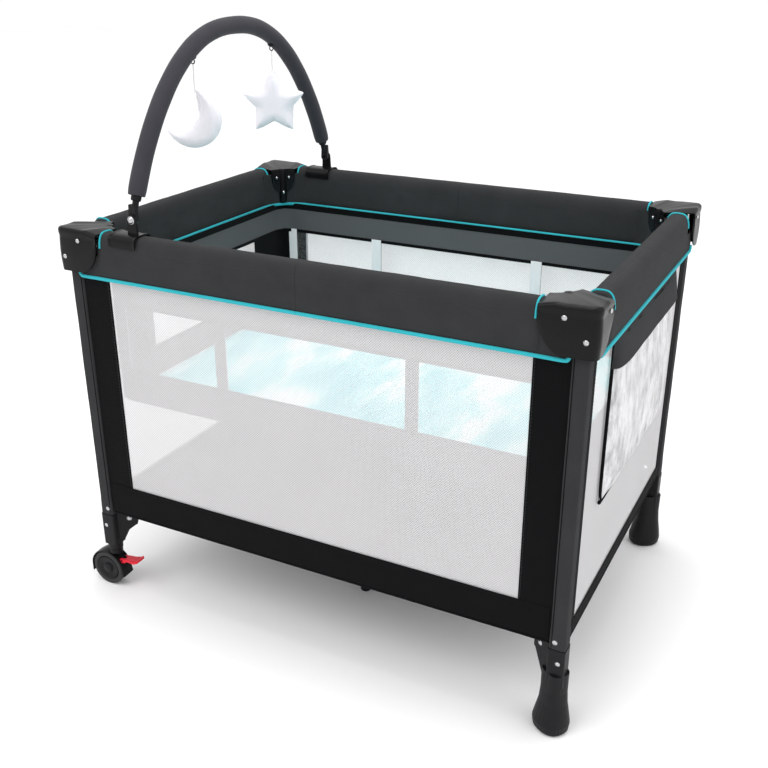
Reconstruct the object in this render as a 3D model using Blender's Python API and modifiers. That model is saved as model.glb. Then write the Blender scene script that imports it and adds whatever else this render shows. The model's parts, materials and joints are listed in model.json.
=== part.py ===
"""Folding travel play yard with a hung bassinet and a toy bar.

X runs along the long sides, Y along the short ends, Z is up. The frame stands on two casters at its -X end
and on two moulded feet at its +X end. Every position is worked out about the centre of the four posts, and
one empty then shifts the whole yard so that the origin lies under the middle of its bounding box. Lengths
are in metres.
"""

import math

import bmesh
import bpy
from mathutils import Matrix, Vector

# Overall sizes
LENGTH = 1.030  # over the corner caps, along X
WIDTH = 0.740  # over the corner caps, along Y
RAIL_HEIGHT = 0.763  # axis of the top rail tubes
BASE_HEIGHT = 0.163  # axis of the base tubes
CAP_TOP = 0.790
CAP_BOTTOM = 0.708

# Corner posts
POST_SIZE = 0.025  # square tube
POST_WALL = 0.0015
POST_CORNER = 0.005
CAP_OVERHANG = 0.027  # post axis to the cap's outer faces
SOCKET_WALL = 0.003
FIT = 0.0005  # clearance of a tube in its socket
TOUCH = 0.0003  # gap between faces that rest on each other

# Fold linkage
RAIL_INSET = 0.032  # post axis to the pivot of a top rail
LOCK_PIVOT = 0.022  # centre of a lock housing to each of its pivots
FOOT_PIVOT = 0.036  # post axis to the pivot of a base tube
TUBE_END = 0.009  # rail tube beyond a pivot
BASE_TUBE_END = 0.007  # base tube beyond a pivot
RAIL_RADIUS = 0.010
BASE_RADIUS = 0.008
TUBE_WALL = 0.0012
SWING_GAP = 0.001  # round the corner of a tube's end as it swings
YOKE_GAP = 0.0005  # each side of a tube in its yoke
YOKE_WALL = 0.003

# Corner caps
WING_LENGTH = 0.095  # from the cap's outer face
WING_THICKNESS = 0.048
WING_TIP = 0.027  # height of a wing at its tip
WING_DROP = 0.003  # how much lower the tip's top is
WING_STEP = 0.002  # how far one wing's end stops inside the other's outer face
WING_ROUND = 0.005
SLOT_GAP = 0.002  # each side of a rail tube in its slot

PAST = 0.01  # how far a cutter runs past a face

# Lock housings and their buttons
LOCK_ABOVE = 0.0135
LOCK_SHEET = 0.0025
LOCK_BEYOND = 0.003  # housing beyond the tubes' ends inside it
BUTTON_RADIUS = 0.0065
BUTTON_FIT = 0.0006
BUTTON_PROUD = 0.004  # button below its housing
BUTTON_TALL = 0.014
BUTTON_EDGE = 0.0015

# Rail pads
PAD_ROOM = 0.001  # each side of a lock housing
PAD_ROOM_ABOVE = 0.006  # above a rail tube
PAD_BELOW = 0.0555
PAD_WALL = 0.006
PAD_GAP = 0.0015  # to the cap's wing
PAD_SPLIT = 0.0005  # each side of the middle
PAD_ROUND = 0.009

# Fabric enclosure
WALL_TOP = 0.706
FLOOR_BOTTOM = 0.187
FABRIC = 0.003
FABRIC_FACE = 0.0105  # outer face of a wall beyond the post axis
FABRIC_NOTCH = 0.018  # how far a wall stops from the post axis
STRAP_SLIT = (0.076, 0.040)

# Pouch on the +X end
POUCH_WIDTH = 0.440
POUCH_TOP = 0.690
POUCH_BOTTOM = 0.392
POUCH_DEPTH_TOP = 0.014
POUCH_DEPTH_LOW = 0.022
POUCH_WALL = 0.002

# Hub
HUB_HALF_X = 0.046
HUB_HALF_Y = 0.054
HUB_ABOVE = 0.016
HUB_BELOW = 0.009
HUB_ARM_WIDTH = 0.022
HUB_LEG_REACH = 0.125
HUB_ARM_DEPTH = 0.013
HUB_ARM_DOWN = 0.001  # arm's top below the hub's top
HUB_LEG_RADIUS = 0.008
HUB_TIP_RADIUS = 0.011
HUB_TIP_TALL = 0.020
STRAP_WIDTH = 0.025
STRAP_TALL = 0.040
STRAP_SPAN = 0.060
STRAP_THICK = 0.002

# Feet and casters
FOOT_TOP = 0.176
SOCKET_FLOOR = 0.108
YOKE_REACH = 0.052  # post axis to the end of a yoke
WHEEL_RADIUS = 0.038
WHEEL_HALF_WIDTH = 0.0145
WHEEL_WEB_GAP = 0.001
AXLE_RADIUS = 0.0035
TRAIL = 0.018
HOOD_RADIUS = 0.040
HOOD_THICK = 0.008
STEM_RADIUS = 0.004
STEM_FIT = 0.0004
NECK_RADIUS = 0.015
NECK_BOTTOM = 0.090
HOOD_TOP = 0.0885
LEVER_PIVOT = (0.019, 0.064)  # from the swivel axis, above the floor
LEVER_REACH = 0.042
LEVER_HALF_WIDTH = 0.011
PIN_RADIUS = 0.002
PIN_FIT = 0.0004

# Bassinet
TUB_HALF_X = 0.460
TUB_HALF_Y = 0.315
TUB_TOP = 0.700
TUB_BOTTOM = 0.432
TUB_WALL = 0.003
TUB_CORNER = 0.030
MATTRESS_HALF_X = 0.437
MATTRESS_HALF_Y = 0.300
MATTRESS_THICK = 0.025
MATTRESS_GAP = 0.001

# Toy bar
TOY_BAR_X = -0.350
CLAMP_BACK = 0.042  # clamp's reach from its lug towards -X
CLAMP_AHEAD = 0.018  # and towards +X
CLAMP_GAP = 0.0015
CLAMP_WALL = 0.003
CLAMP_BELOW = 0.016  # how far it reaches below the rail axis
LUG_PIVOT = 0.815
LUG_RADIUS = 0.011
LUG_THICK = 0.008
LUG_OUT = 0.006  # lug's middle outside the rail line
TAB_GAP = 0.0006  # between a lug and the arch's tab
RIVET_RADIUS = 0.0075
RIVET_TALL = 0.003
ARCH_TAB = 0.008
ARCH_RADIUS = 0.006
ARCH_TAB_RADIUS = 0.0085
ARCH_TAB_TALL = 0.027
ARCH_RISE = 0.310
ARCH_SIDE_POWER = 2.33  # how upright the arch's legs stand
ARCH_TOP_POWER = 1.2  # how peaked its top is
ARCH_PIN = 0.0025
ARCH_PIN_FIT = 0.0003
FOAM_RADIUS = 0.0165
FOAM_BORE = 0.0078
FOAM_START = 0.13  # where the foam starts along the arch, radians
MOON_ANGLE = 1.117  # where the rings sit along the arch, radians from the front
STAR_ANGLE = 1.998
HOOK_TUBE = 0.0022
STRING_RADIUS = 0.0012
MOON_STRING = 0.052
STAR_STRING = 0.054
MOON_RADIUS = 0.055
MOON_BITE = 0.93  # radius of the crescent's inner arc, as a share of its outer radius
MOON_BITE_AT = 0.90  # centre of the inner arc, as a share of the outer radius
MOON_HORN = 64  # degrees from the bite's middle to each horn
MOON_TURN = 142  # degrees from +X to the bite's middle
STAR_RADIUS = 0.064
STAR_WAIST = 0.57
TOY_HALF_THICK = 0.016
TOY_YAW = 0.50

# Derived places
TUBE_CORNER = math.hypot(TUBE_END, RAIL_RADIUS) + SWING_GAP
BASE_CORNER = math.hypot(BASE_TUBE_END, BASE_RADIUS) + SWING_GAP
SLOT_ROOF = RAIL_HEIGHT + TUBE_CORNER
SLOT_WIDTH = 2 * (RAIL_RADIUS + SLOT_GAP)
LOCK_BELOW = TUBE_CORNER + LOCK_SHEET
LOCK_WIDTH = 2 * (RAIL_RADIUS + YOKE_GAP + LOCK_SHEET)
PAD_WIDTH = LOCK_WIDTH + 2 * (PAD_ROOM + PAD_WALL)
PAD_ABOVE = RAIL_RADIUS + PAD_ROOM_ABOVE + PAD_WALL
BUTTON_LOW = LOCK_BELOW + BUTTON_PROUD
POST_X = LENGTH / 2 - CAP_OVERHANG
POST_Y = WIDTH / 2 - CAP_OVERHANG
RUN_X = POST_X - RAIL_INSET - LOCK_PIVOT  # pivot to pivot, long rails
RUN_Y = POST_Y - RAIL_INSET - LOCK_PIVOT  # pivot to pivot, short rails
BASE_RUN = math.hypot(RUN_X, RUN_Y)
BASE_AZIMUTH = math.atan2(RUN_Y, RUN_X)
FOOT_DX = FOOT_PIVOT * math.cos(BASE_AZIMUTH)
FOOT_DY = FOOT_PIVOT * math.sin(BASE_AZIMUTH)
HUB_DX = POST_X - FOOT_DX - RUN_X
HUB_DY = POST_Y - FOOT_DY - RUN_Y
TAB_CENTRE = POST_Y + LUG_OUT - LUG_THICK / 2 - TAB_GAP - ARCH_TAB / 2  # from the middle of the yard
SOCKET_HALF = POST_SIZE / 2 + FIT
YOKE_INNER = BASE_RADIUS + YOKE_GAP
YOKE_OUTER = YOKE_INNER + YOKE_WALL
FOOT_REACH = 0.032  # foot's reach from the post axis along +X
LEFT_REACH = POST_X + TRAIL + HOOD_RADIUS
POUCH_FACE = POST_X + FABRIC_FACE + FIT
RIGHT_REACH = max(LENGTH / 2, POST_X + FOOT_REACH, POUCH_FACE + POUCH_DEPTH_LOW)
SHIFT_X = (LEFT_REACH - RIGHT_REACH) / 2
CORNERS = {"fl": (-1, -1), "fr": (1, -1), "bl": (-1, 1), "br": (1, 1)}

COLOURS = {
    "black_plastic": ((0.018, 0.018, 0.020), 0.35, 0.0),
    "charcoal_fabric": ((0.030, 0.032, 0.034), 0.9, 0.0),
    "light_mesh": ((0.70, 0.70, 0.71), 0.8, 0.0),
    "steel": ((0.62, 0.62, 0.63), 0.3, 1.0),
    "red_plastic": ((0.55, 0.01, 0.03), 0.4, 0.0),
    "rubber": ((0.03, 0.03, 0.03), 0.8, 0.0),
    "print_fabric": ((0.62, 0.88, 0.88), 0.85, 0.0),
    "plush": ((0.86, 0.86, 0.90), 0.95, 0.0),
    "foam": ((0.05, 0.05, 0.058), 0.85, 0.0),
}


# ----------------------------------------------------------------------  scene helpers


def clear_scene():
    for obj in list(bpy.data.objects):
        bpy.data.objects.remove(obj)


def collection(name):
    found = bpy.data.collections.get(name) or bpy.data.collections.new(name)
    if name not in bpy.context.scene.collection.children:
        bpy.context.scene.collection.children.link(found)
    return found


def material(name):
    found = bpy.data.materials.get(name)
    if found:
        return found
    colour, roughness, metallic = COLOURS[name]
    made = bpy.data.materials.new(name)
    made.use_nodes = True
    shader = made.node_tree.nodes["Principled BSDF"]
    shader.inputs["Base Color"].default_value = (*colour, 1)
    shader.inputs["Roughness"].default_value = roughness
    shader.inputs["Metallic"].default_value = metallic
    return made


def add(name, bm, matname, origin=(0, 0, 0), smooth=None):
    """A part from a bmesh whose vertices are about the origin given, hung on the yard's empty."""
    mesh = bpy.data.meshes.new(name)
    bmesh.ops.recalc_face_normals(bm, faces=bm.faces)
    bm.to_mesh(mesh)
    bm.free()
    if smooth:
        mesh.shade_smooth()
        mesh.set_sharp_from_angle(angle=math.radians(smooth))
    obj = bpy.data.objects.new(name, mesh)
    obj.location = origin
    obj.parent = YARD
    mesh.materials.append(material(matname))
    PARTS.objects.link(obj)
    return obj


def cutter(name, bm, origin=(0, 0, 0)):
    obj = add(name, bm, "black_plastic", origin)
    PARTS.objects.unlink(obj)
    CUTTERS.objects.link(obj)
    obj.hide_render = True
    obj.display_type = "WIRE"
    return obj


def boolean(obj, other, operation):
    mod = obj.modifiers.new(other.name, "BOOLEAN")
    mod.object = other
    mod.operation = operation
    mod.solver = "EXACT"
    return mod


def bevel(obj, width, segments=2, angle=40):
    mod = obj.modifiers.new("round", "BEVEL")
    mod.width = width
    mod.segments = segments
    mod.limit_method = "ANGLE"
    mod.angle_limit = math.radians(angle)
    return mod


def solidify(obj, thickness, offset=-1):
    mod = obj.modifiers.new("wall", "SOLIDIFY")
    mod.thickness = thickness
    mod.offset = offset
    mod.use_even_offset = True
    return mod


# ----------------------------------------------------------------------  shape functions


def box_bm(low, high):
    bm = bmesh.new()
    bmesh.ops.create_cube(bm, size=1)
    low, high = Vector(low), Vector(high)
    bmesh.ops.scale(bm, vec=high - low, verts=bm.verts)
    bmesh.ops.translate(bm, vec=(low + high) / 2, verts=bm.verts)
    return bm


def cylinder_bm(start, end, radius, segments=24, caps=True, end_radius=None):
    start, end = Vector(start), Vector(end)
    along = end - start
    bm = bmesh.new()
    bmesh.ops.create_cone(
        bm,
        cap_ends=caps,
        segments=segments,
        radius1=radius,
        radius2=radius if end_radius is None else end_radius,
        depth=along.length,
    )
    turn = Vector((0, 0, 1)).rotation_difference(along).to_matrix().to_4x4()
    bmesh.ops.transform(bm, matrix=Matrix.Translation((start + end) / 2) @ turn, verts=bm.verts)
    return bm


def prism_bm(outline, half, matrix):
    """A flat outline in local X and Z, thickened by half to each side along Y, then placed by matrix."""
    bm = bmesh.new()
    near = [bm.verts.new((x, -half, z)) for x, z in outline]
    face = bm.faces.new(near)
    made = bmesh.ops.extrude_face_region(bm, geom=[face])["geom"]
    verts = [v for v in made if isinstance(v, bmesh.types.BMVert)]
    bmesh.ops.translate(bm, vec=(0, 2 * half, 0), verts=verts)
    bmesh.ops.transform(bm, matrix=matrix, verts=bm.verts)
    return bm


def ring(radius_x, radius_y, power, count):
    """Points of a superellipse: power 2 is an ellipse, and a higher power is squarer."""
    points = []
    for i in range(count):
        t = 2 * math.pi * i / count
        c, s = math.cos(t), math.sin(t)
        x = math.copysign(abs(c) ** (2 / power), c) * radius_x
        y = math.copysign(abs(s) ** (2 / power), s) * radius_y
        points.append((x, y))
    return points


def loft_bm(sections, count=24):
    """A closed body through level sections (z, centre, half along, half across, power) along local X."""
    bm = bmesh.new()
    rings = []
    for z, centre, along, across, power in sections:
        rings.append([bm.verts.new((centre + x, y, z)) for x, y in ring(along, across, power, count)])
    for low, high in zip(rings, rings[1:]):
        for i in range(count):
            j = (i + 1) % count
            bm.faces.new((low[i], low[j], high[j], high[i]))
    bm.faces.new(list(reversed(rings[0])))
    bm.faces.new(rings[-1])
    return bm


def turned_bm(profile, segments=32):
    """A body turned about Z from (radius, z) points that start and end on the axis."""
    bm = bmesh.new()
    verts = [bm.verts.new((r, 0, z)) for r, z in profile]
    edges = [bm.edges.new(pair) for pair in zip(verts, verts[1:])]
    bmesh.ops.spin(
        bm,
        geom=verts + edges,
        cent=(0, 0, 0),
        axis=(0, 0, 1),
        angle=2 * math.pi,
        steps=segments,
        use_merge=True,
    )
    bmesh.ops.remove_doubles(bm, verts=bm.verts, dist=0.00001)
    return bm


def sweep_bm(points, radius, sides, caps=True, closed=False):
    """A round tube along points, made from a curve with a bevel depth."""
    data = bpy.data.curves.new("sweep", "CURVE")
    data.dimensions = "3D"
    data.bevel_depth = radius
    data.bevel_resolution = sides
    data.use_fill_caps = caps
    spline = data.splines.new("POLY")
    spline.points.add(len(points) - 1)
    spline.use_cyclic_u = closed
    for target, point in zip(spline.points, points):
        target.co = (*point, 1)
    obj = bpy.data.objects.new("sweep", data)
    CUTTERS.objects.link(obj)
    bpy.context.view_layer.update()
    mesh = bpy.data.meshes.new_from_object(obj.evaluated_get(bpy.context.evaluated_depsgraph_get()))
    bm = bmesh.new()
    bm.from_mesh(mesh)
    bmesh.ops.remove_doubles(bm, verts=bm.verts, dist=0.00005)
    bpy.data.objects.remove(obj)
    return bm


def merged(*parts):
    """Several bmeshes as one, for bodies that a Boolean cuts together."""
    out = bmesh.new()
    for bm in parts:
        mesh = bpy.data.meshes.new("piece")
        bmesh.ops.recalc_face_normals(bm, faces=bm.faces)
        bm.to_mesh(mesh)
        bm.free()
        out.from_mesh(mesh)
        bpy.data.meshes.remove(mesh)
    return out


def about_z(angle):
    return Matrix.Rotation(angle, 4, "Z")


# ----------------------------------------------------------------------  frame parts


def post(tag, sx, sy):
    """Square steel tube from the foot socket to just under the cap's roof."""
    low, high = SOCKET_FLOOR + TOUCH, SLOT_ROOF - SOCKET_WALL
    bm = box_bm((-POST_SIZE / 2, -POST_SIZE / 2, low), (POST_SIZE / 2, POST_SIZE / 2, high))
    ends = [f for f in bm.faces if abs(f.normal.z) > 0.5]
    bmesh.ops.delete(bm, geom=ends, context="FACES_ONLY")
    obj = add(f"post_{tag}", bm, "steel", (sx * POST_X, sy * POST_Y, 0))
    bevel(obj, POST_CORNER, 3)
    solidify(obj, POST_WALL)


def wing_outline(trim=0.0):
    """Side view of a cap's wing: level top, short tip, leaf-shaped lower edge. X is measured from the post."""
    tip = WING_LENGTH - CAP_OVERHANG
    top, low = CAP_TOP - trim, CAP_BOTTOM + trim
    tip_top = top - WING_DROP
    tip_low = tip_top - WING_TIP
    root = SOCKET_HALF + SOCKET_WALL
    end = -CAP_OVERHANG + WING_STEP
    points = [(end, low), (end, top), (root, top), (tip - 0.004, tip_top)]
    points.append((tip, tip_top - 0.005))
    steps = 6
    for i in range(steps + 1):
        t = math.pi / 2 * i / steps
        points.append((root + (tip - root) * math.cos(t), tip_low - (tip_low - low) * math.sin(t)))
    return points


def cap(tag, sx, sy):
    """Moulded corner: a socket over the post and two hollow wings that hold the rails' outer pivots."""
    place = (sx * POST_X, sy * POST_Y, 0)
    half = WING_THICKNESS / 2
    middle = WING_THICKNESS / 2 - CAP_OVERHANG
    along_x = Matrix.Scale(-sx, 4, (1, 0, 0)) @ Matrix.Translation((0, -sy * middle, 0))
    swap = Matrix(((0, 1, 0, 0), (1, 0, 0, 0), (0, 0, 1, 0), (0, 0, 0, 1)))
    along_y = Matrix.Scale(-sy, 4, (0, 1, 0)) @ Matrix.Translation((-sx * middle, 0, 0)) @ swap
    obj = add(f"corner_cap_{tag}", prism_bm(wing_outline(), half, along_x), "black_plastic", place, smooth=35)
    bevel(obj, WING_ROUND, 2, 50)
    other = cutter(f"wing_{tag}", prism_bm(wing_outline(WING_STEP / 2), half, along_y), place)
    bevel(other, WING_ROUND, 2, 50)
    boolean(obj, other, "UNION")
    roof = SLOT_ROOF
    low = CAP_BOTTOM - PAST
    start, end = SOCKET_HALF + SOCKET_WALL, WING_LENGTH
    w = SLOT_WIDTH / 2
    slots = (
        ((-sx * start, -w), (-sx * end, w)),
        ((-w, -sy * start), (w, -sy * end)),
    )
    for i, (a, b) in enumerate(slots):
        lo = (min(a[0], b[0]), min(a[1], b[1]), low)
        hi = (max(a[0], b[0]), max(a[1], b[1]), roof)
        boolean(obj, cutter(f"rail_slot_{tag}_{i}", box_bm(lo, hi), place), "DIFFERENCE")
    h = SOCKET_HALF
    bore = cutter(f"post_bore_{tag}", box_bm((-h, -h, low), (h, h, roof - SOCKET_WALL + FIT)), place)
    boolean(obj, bore, "DIFFERENCE")


def open_tube(name, start, end, radius, matname, origin, wall=TUBE_WALL, segments=16):
    obj = add(name, cylinder_bm(start, end, radius, segments, caps=False), matname, origin, smooth=35)
    solidify(obj, wall)
    return obj


def channel(name, along, ends, half, web, lip, sheet, matname, origin):
    """A U of sheet along X or Y, with its web at height web from the origin and its lips' ends at height lip."""
    bm = bmesh.new()
    section = [(-half, lip), (-half, web), (half, web), (half, lip)]
    rows = []
    for s in ends:
        rows.append([bm.verts.new((s, w, z) if along == "x" else (w, s, z)) for w, z in section])
    for i in range(3):
        bm.faces.new((rows[0][i], rows[0][i + 1], rows[1][i + 1], rows[1][i]))
    obj = add(name, bm, matname, origin)
    flat = max(obj.data.polygons, key=lambda p: abs(p.normal.z))
    if flat.normal.z * web < 0:
        obj.data.flip_normals()
    solidify(obj, sheet)
    return obj


SIDES = {
    # name: the rail runs along, side of the yard, first post, second post
    "front": ("x", -1, "fl", "fr"),
    "back": ("x", 1, "bl", "br"),
    "left": ("y", -1, "fl", "bl"),
    "right": ("y", 1, "fr", "br"),
}


def side_point(along, side, s, z):
    """A point on a side's rail line, s from the middle of the side."""
    return (s, side * POST_Y, z) if along == "x" else (side * POST_X, s, z)


def top_rail(side_name):
    along, side, _, _ = SIDES[side_name]
    run = RUN_X if along == "x" else RUN_Y
    post_at = POST_X if along == "x" else POST_Y
    unit = Vector((1, 0, 0)) if along == "x" else Vector((0, 1, 0))
    for label, sign in (("a", -1), ("b", 1)):
        pivot_at = sign * (post_at - RAIL_INSET)
        origin = side_point(along, side, pivot_at, RAIL_HEIGHT)
        start = unit * (sign * TUBE_END)
        end = unit * (-sign * (run + TUBE_END))
        open_tube(f"rail_{side_name}_{label}", start, end, RAIL_RADIUS, "steel", origin)
        pad_start = sign * (WING_LENGTH - CAP_OVERHANG + PAD_GAP - RAIL_INSET) * -1
        pad_end = -pivot_at + sign * PAD_SPLIT
        pad = channel(
            f"rail_pad_{side_name}_{label}",
            along,
            sorted((pad_start, pad_end)),
            PAD_WIDTH / 2,
            PAD_ABOVE,
            -PAD_BELOW,
            PAD_WALL,
            "charcoal_fabric",
            origin,
        )
        round_under_wall(pad, PAD_ROUND)
    rail_lock(side_name, along, side_point(along, side, 0, RAIL_HEIGHT))


def round_under_wall(obj, width):
    """Round a sheet's own bends before its thickness is added."""
    mod = bevel(obj, width, 3, 50)
    obj.modifiers.move(obj.modifiers.find(mod.name), 0)


def rail_lock(side_name, along, middle):
    """Housing round the tubes' inner pivots, open above for the tubes to swing up, and its release button."""
    reach = LOCK_PIVOT + TUBE_END + LOCK_BEYOND
    half = LOCK_WIDTH / 2
    name = f"rail_lock_{side_name}"
    obj = channel(
        name, along, (-reach, reach), half, -LOCK_BELOW, LOCK_ABOVE, LOCK_SHEET, "black_plastic", middle
    )
    hole = cylinder_bm((0, 0, -LOCK_BELOW - PAST), (0, 0, -RAIL_RADIUS), BUTTON_RADIUS + BUTTON_FIT, 20)
    boolean(obj, cutter(f"button_hole_{side_name}", hole, middle), "DIFFERENCE")
    r, low = BUTTON_RADIUS, -BUTTON_LOW
    high = low + BUTTON_TALL
    profile = [(0, low), (r - BUTTON_EDGE, low), (r, low + BUTTON_EDGE), (r, high), (0, high)]
    add(f"rail_button_{side_name}", turned_bm(profile, 20), "black_plastic", middle, smooth=35)


def base_tube(tag, sx, sy):
    """Steel tube from the yoke under a post to the hub, hinged at both ends."""
    toward = Vector((-sx * math.cos(BASE_AZIMUTH), -sy * math.sin(BASE_AZIMUTH), 0))
    origin = (sx * (POST_X - FOOT_DX), sy * (POST_Y - FOOT_DY), BASE_HEIGHT)
    start, end = toward * -BASE_TUBE_END, toward * (BASE_RUN + BASE_TUBE_END)
    open_tube(f"base_tube_{tag}", start, end, BASE_RADIUS, "steel", origin)


def hub():
    """Centre yoke block with a cross arm that carries the two support legs."""
    bm = box_bm((-HUB_HALF_X, -HUB_HALF_Y, -HUB_BELOW), (HUB_HALF_X, HUB_HALF_Y, HUB_ABOVE))
    obj = add("hub", bm, "black_plastic", (0, 0, BASE_HEIGHT))
    bevel(obj, 0.008, 2)
    arm = HUB_LEG_REACH + HUB_ARM_WIDTH / 2
    top = HUB_ABOVE - HUB_ARM_DOWN
    half = HUB_ARM_WIDTH / 2
    arm_bm = box_bm((-half, -arm, top - HUB_ARM_DEPTH), (half, arm, top))
    arm_obj = cutter("hub_arm", arm_bm, (0, 0, BASE_HEIGHT))
    bevel(arm_obj, 0.003, 2)
    boolean(obj, arm_obj, "UNION")
    for tag, (sx, sy) in CORNERS.items():
        toward = Vector((sx * math.cos(BASE_AZIMUTH), sy * math.sin(BASE_AZIMUTH), 0))
        turn = about_z(math.atan2(toward.y, toward.x))
        slot = box_bm((-BASE_CORNER, -YOKE_INNER, -HUB_BELOW - PAST), (HUB_HALF_Y, YOKE_INNER, BASE_CORNER))
        bmesh.ops.transform(slot, matrix=turn, verts=slot.verts)
        where = (sx * HUB_DX, sy * HUB_DY, BASE_HEIGHT)
        boolean(obj, cutter(f"hub_slot_{tag}", slot, where), "DIFFERENCE")


def hub_leg(name, sy):
    top = BASE_HEIGHT + HUB_ABOVE - HUB_ARM_DOWN - HUB_ARM_DEPTH - TOUCH
    r, t = HUB_LEG_RADIUS, HUB_TIP_RADIUS
    profile = [(0, 0), (t - 0.002, 0), (t, 0.002), (t, HUB_TIP_TALL - 0.002), (r, HUB_TIP_TALL)]
    profile += [(r, top), (0, top)]
    add(name, turned_bm(profile, 20), "black_plastic", (0, sy * HUB_LEG_REACH, 0), smooth=35)


def half_ellipse(across, tall, foot, steps=12):
    """Points over the top of a loop, from -X to +X, with its two ends raised to foot."""
    points = []
    for i in range(steps + 1):
        t = math.pi * i / steps
        points.append((-math.cos(t) * across, max(math.sin(t) * tall, foot)))
    return points


def pull_strap():
    """Webbing loop on top of the hub, reached through the slit in the floor."""
    outer = half_ellipse(STRAP_SPAN / 2, STRAP_TALL, 0)
    inner = half_ellipse(STRAP_SPAN / 2 - STRAP_THICK, STRAP_TALL - STRAP_THICK, STRAP_THICK)
    outline = outer + list(reversed(inner))
    origin = (0, 0, BASE_HEIGHT + HUB_ABOVE + TOUCH)
    add("pull_strap", prism_bm(outline, STRAP_WIDTH / 2, Matrix.Identity(4)), "charcoal_fabric", origin)


# ----------------------------------------------------------------------  feet and casters


def yoke_outline(root):
    """Side view of the gusset that carries a base tube's pivot, X from the post axis towards the hub."""
    low = BASE_HEIGHT - BASE_CORNER - YOKE_WALL
    return [
        (0.006, FOOT_TOP),
        (YOKE_REACH - 0.003, FOOT_TOP),
        (YOKE_REACH, FOOT_TOP - 0.003),
        (YOKE_REACH, low),
        (YOKE_REACH - 0.004, low - 0.002),
        (0.034, root + 0.024),
        (0.026, root + 0.008),
        (0.022, root),
        (0.006, root),
    ]


def yoke_cuts(obj, tag, toward, place):
    """Post bore and the slot in which the base tube swings up."""
    h = SOCKET_HALF
    bore = cutter(f"socket_{tag}", box_bm((-h, -h, SOCKET_FLOOR), (h, h, FOOT_TOP + PAST)), place)
    boolean(obj, bore, "DIFFERENCE")
    slot = box_bm(
        (FOOT_PIVOT - BASE_CORNER, -YOKE_INNER, BASE_HEIGHT - BASE_CORNER),
        (YOKE_REACH + PAST, YOKE_INNER, FOOT_TOP + PAST),
    )
    bmesh.ops.transform(slot, matrix=about_z(math.atan2(toward.y, toward.x)), verts=slot.verts)
    boolean(obj, cutter(f"yoke_slot_{tag}", slot, place), "DIFFERENCE")


def socket_sections(low, high):
    """Square collar round the post, in level sections."""
    half = SOCKET_HALF + SOCKET_WALL
    return [(low, 0, half, half, 8), (high, 0, half, half, 8)]


def foot(tag, sx, sy):
    """Bell-shaped moulded foot with a socket for the post and a yoke for the base tube."""
    place = (sx * POST_X, sy * POST_Y, 0)
    toward = Vector((-sx * math.cos(BASE_AZIMUTH), -sy * math.sin(BASE_AZIMUTH), 0))
    turn = about_z(math.atan2(toward.y, toward.x))
    sections = [
        (0.000, 0.006, 0.029, 0.025, 2.2),
        (0.005, 0.006, 0.033, 0.029, 2.2),
        (0.018, 0.006, 0.034, 0.030, 2.3),
        (0.036, 0.005, 0.031, 0.027, 2.3),
        (0.060, 0.004, 0.026, 0.0225, 2.4),
        (0.085, 0.004, 0.0235, 0.0205, 2.6),
        (0.110, 0.004, 0.0235, 0.0200, 2.8),
        (0.125, 0.003, 0.0225, 0.0195, 3.0),
    ]
    bell = loft_bm(sections, 28)
    bmesh.ops.transform(bell, matrix=turn, verts=bell.verts)
    obj = add(f"foot_{tag}", bell, "black_plastic", place, smooth=40)
    collar = cutter(f"collar_{tag}", loft_bm(socket_sections(0.100, FOOT_TOP), 24), place)
    boolean(obj, collar, "UNION")
    gusset = cutter(f"gusset_{tag}", prism_bm(yoke_outline(0.096), YOKE_OUTER, turn), place)
    boolean(obj, gusset, "UNION")
    yoke_cuts(obj, tag, toward, place)


def caster_bracket(tag, sx, sy):
    """Socket under a post with a yoke for the base tube and a neck for the caster's stem."""
    place = (sx * POST_X, sy * POST_Y, 0)
    toward = Vector((-sx * math.cos(BASE_AZIMUTH), -sy * math.sin(BASE_AZIMUTH), 0))
    turn = about_z(math.atan2(toward.y, toward.x))
    collar = loft_bm(socket_sections(0.1035, FOOT_TOP), 24)
    obj = add(f"caster_bracket_{tag}", collar, "black_plastic", place, smooth=40)
    gusset = cutter(f"gusset_{tag}", prism_bm(yoke_outline(0.112), YOKE_OUTER, turn), place)
    boolean(obj, gusset, "UNION")
    neck = cylinder_bm((0, 0, NECK_BOTTOM), (0, 0, 0.106), NECK_RADIUS, 24, end_radius=NECK_RADIUS + 0.001)
    boolean(obj, cutter(f"neck_{tag}", neck, place), "UNION")
    yoke_cuts(obj, tag, toward, place)
    stem = cylinder_bm((0, 0, NECK_BOTTOM - 0.01), (0, 0, SOCKET_FLOOR - 0.002), STEM_RADIUS + STEM_FIT, 20)
    boolean(obj, cutter(f"stem_bore_{tag}", stem, place), "DIFFERENCE")


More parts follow.
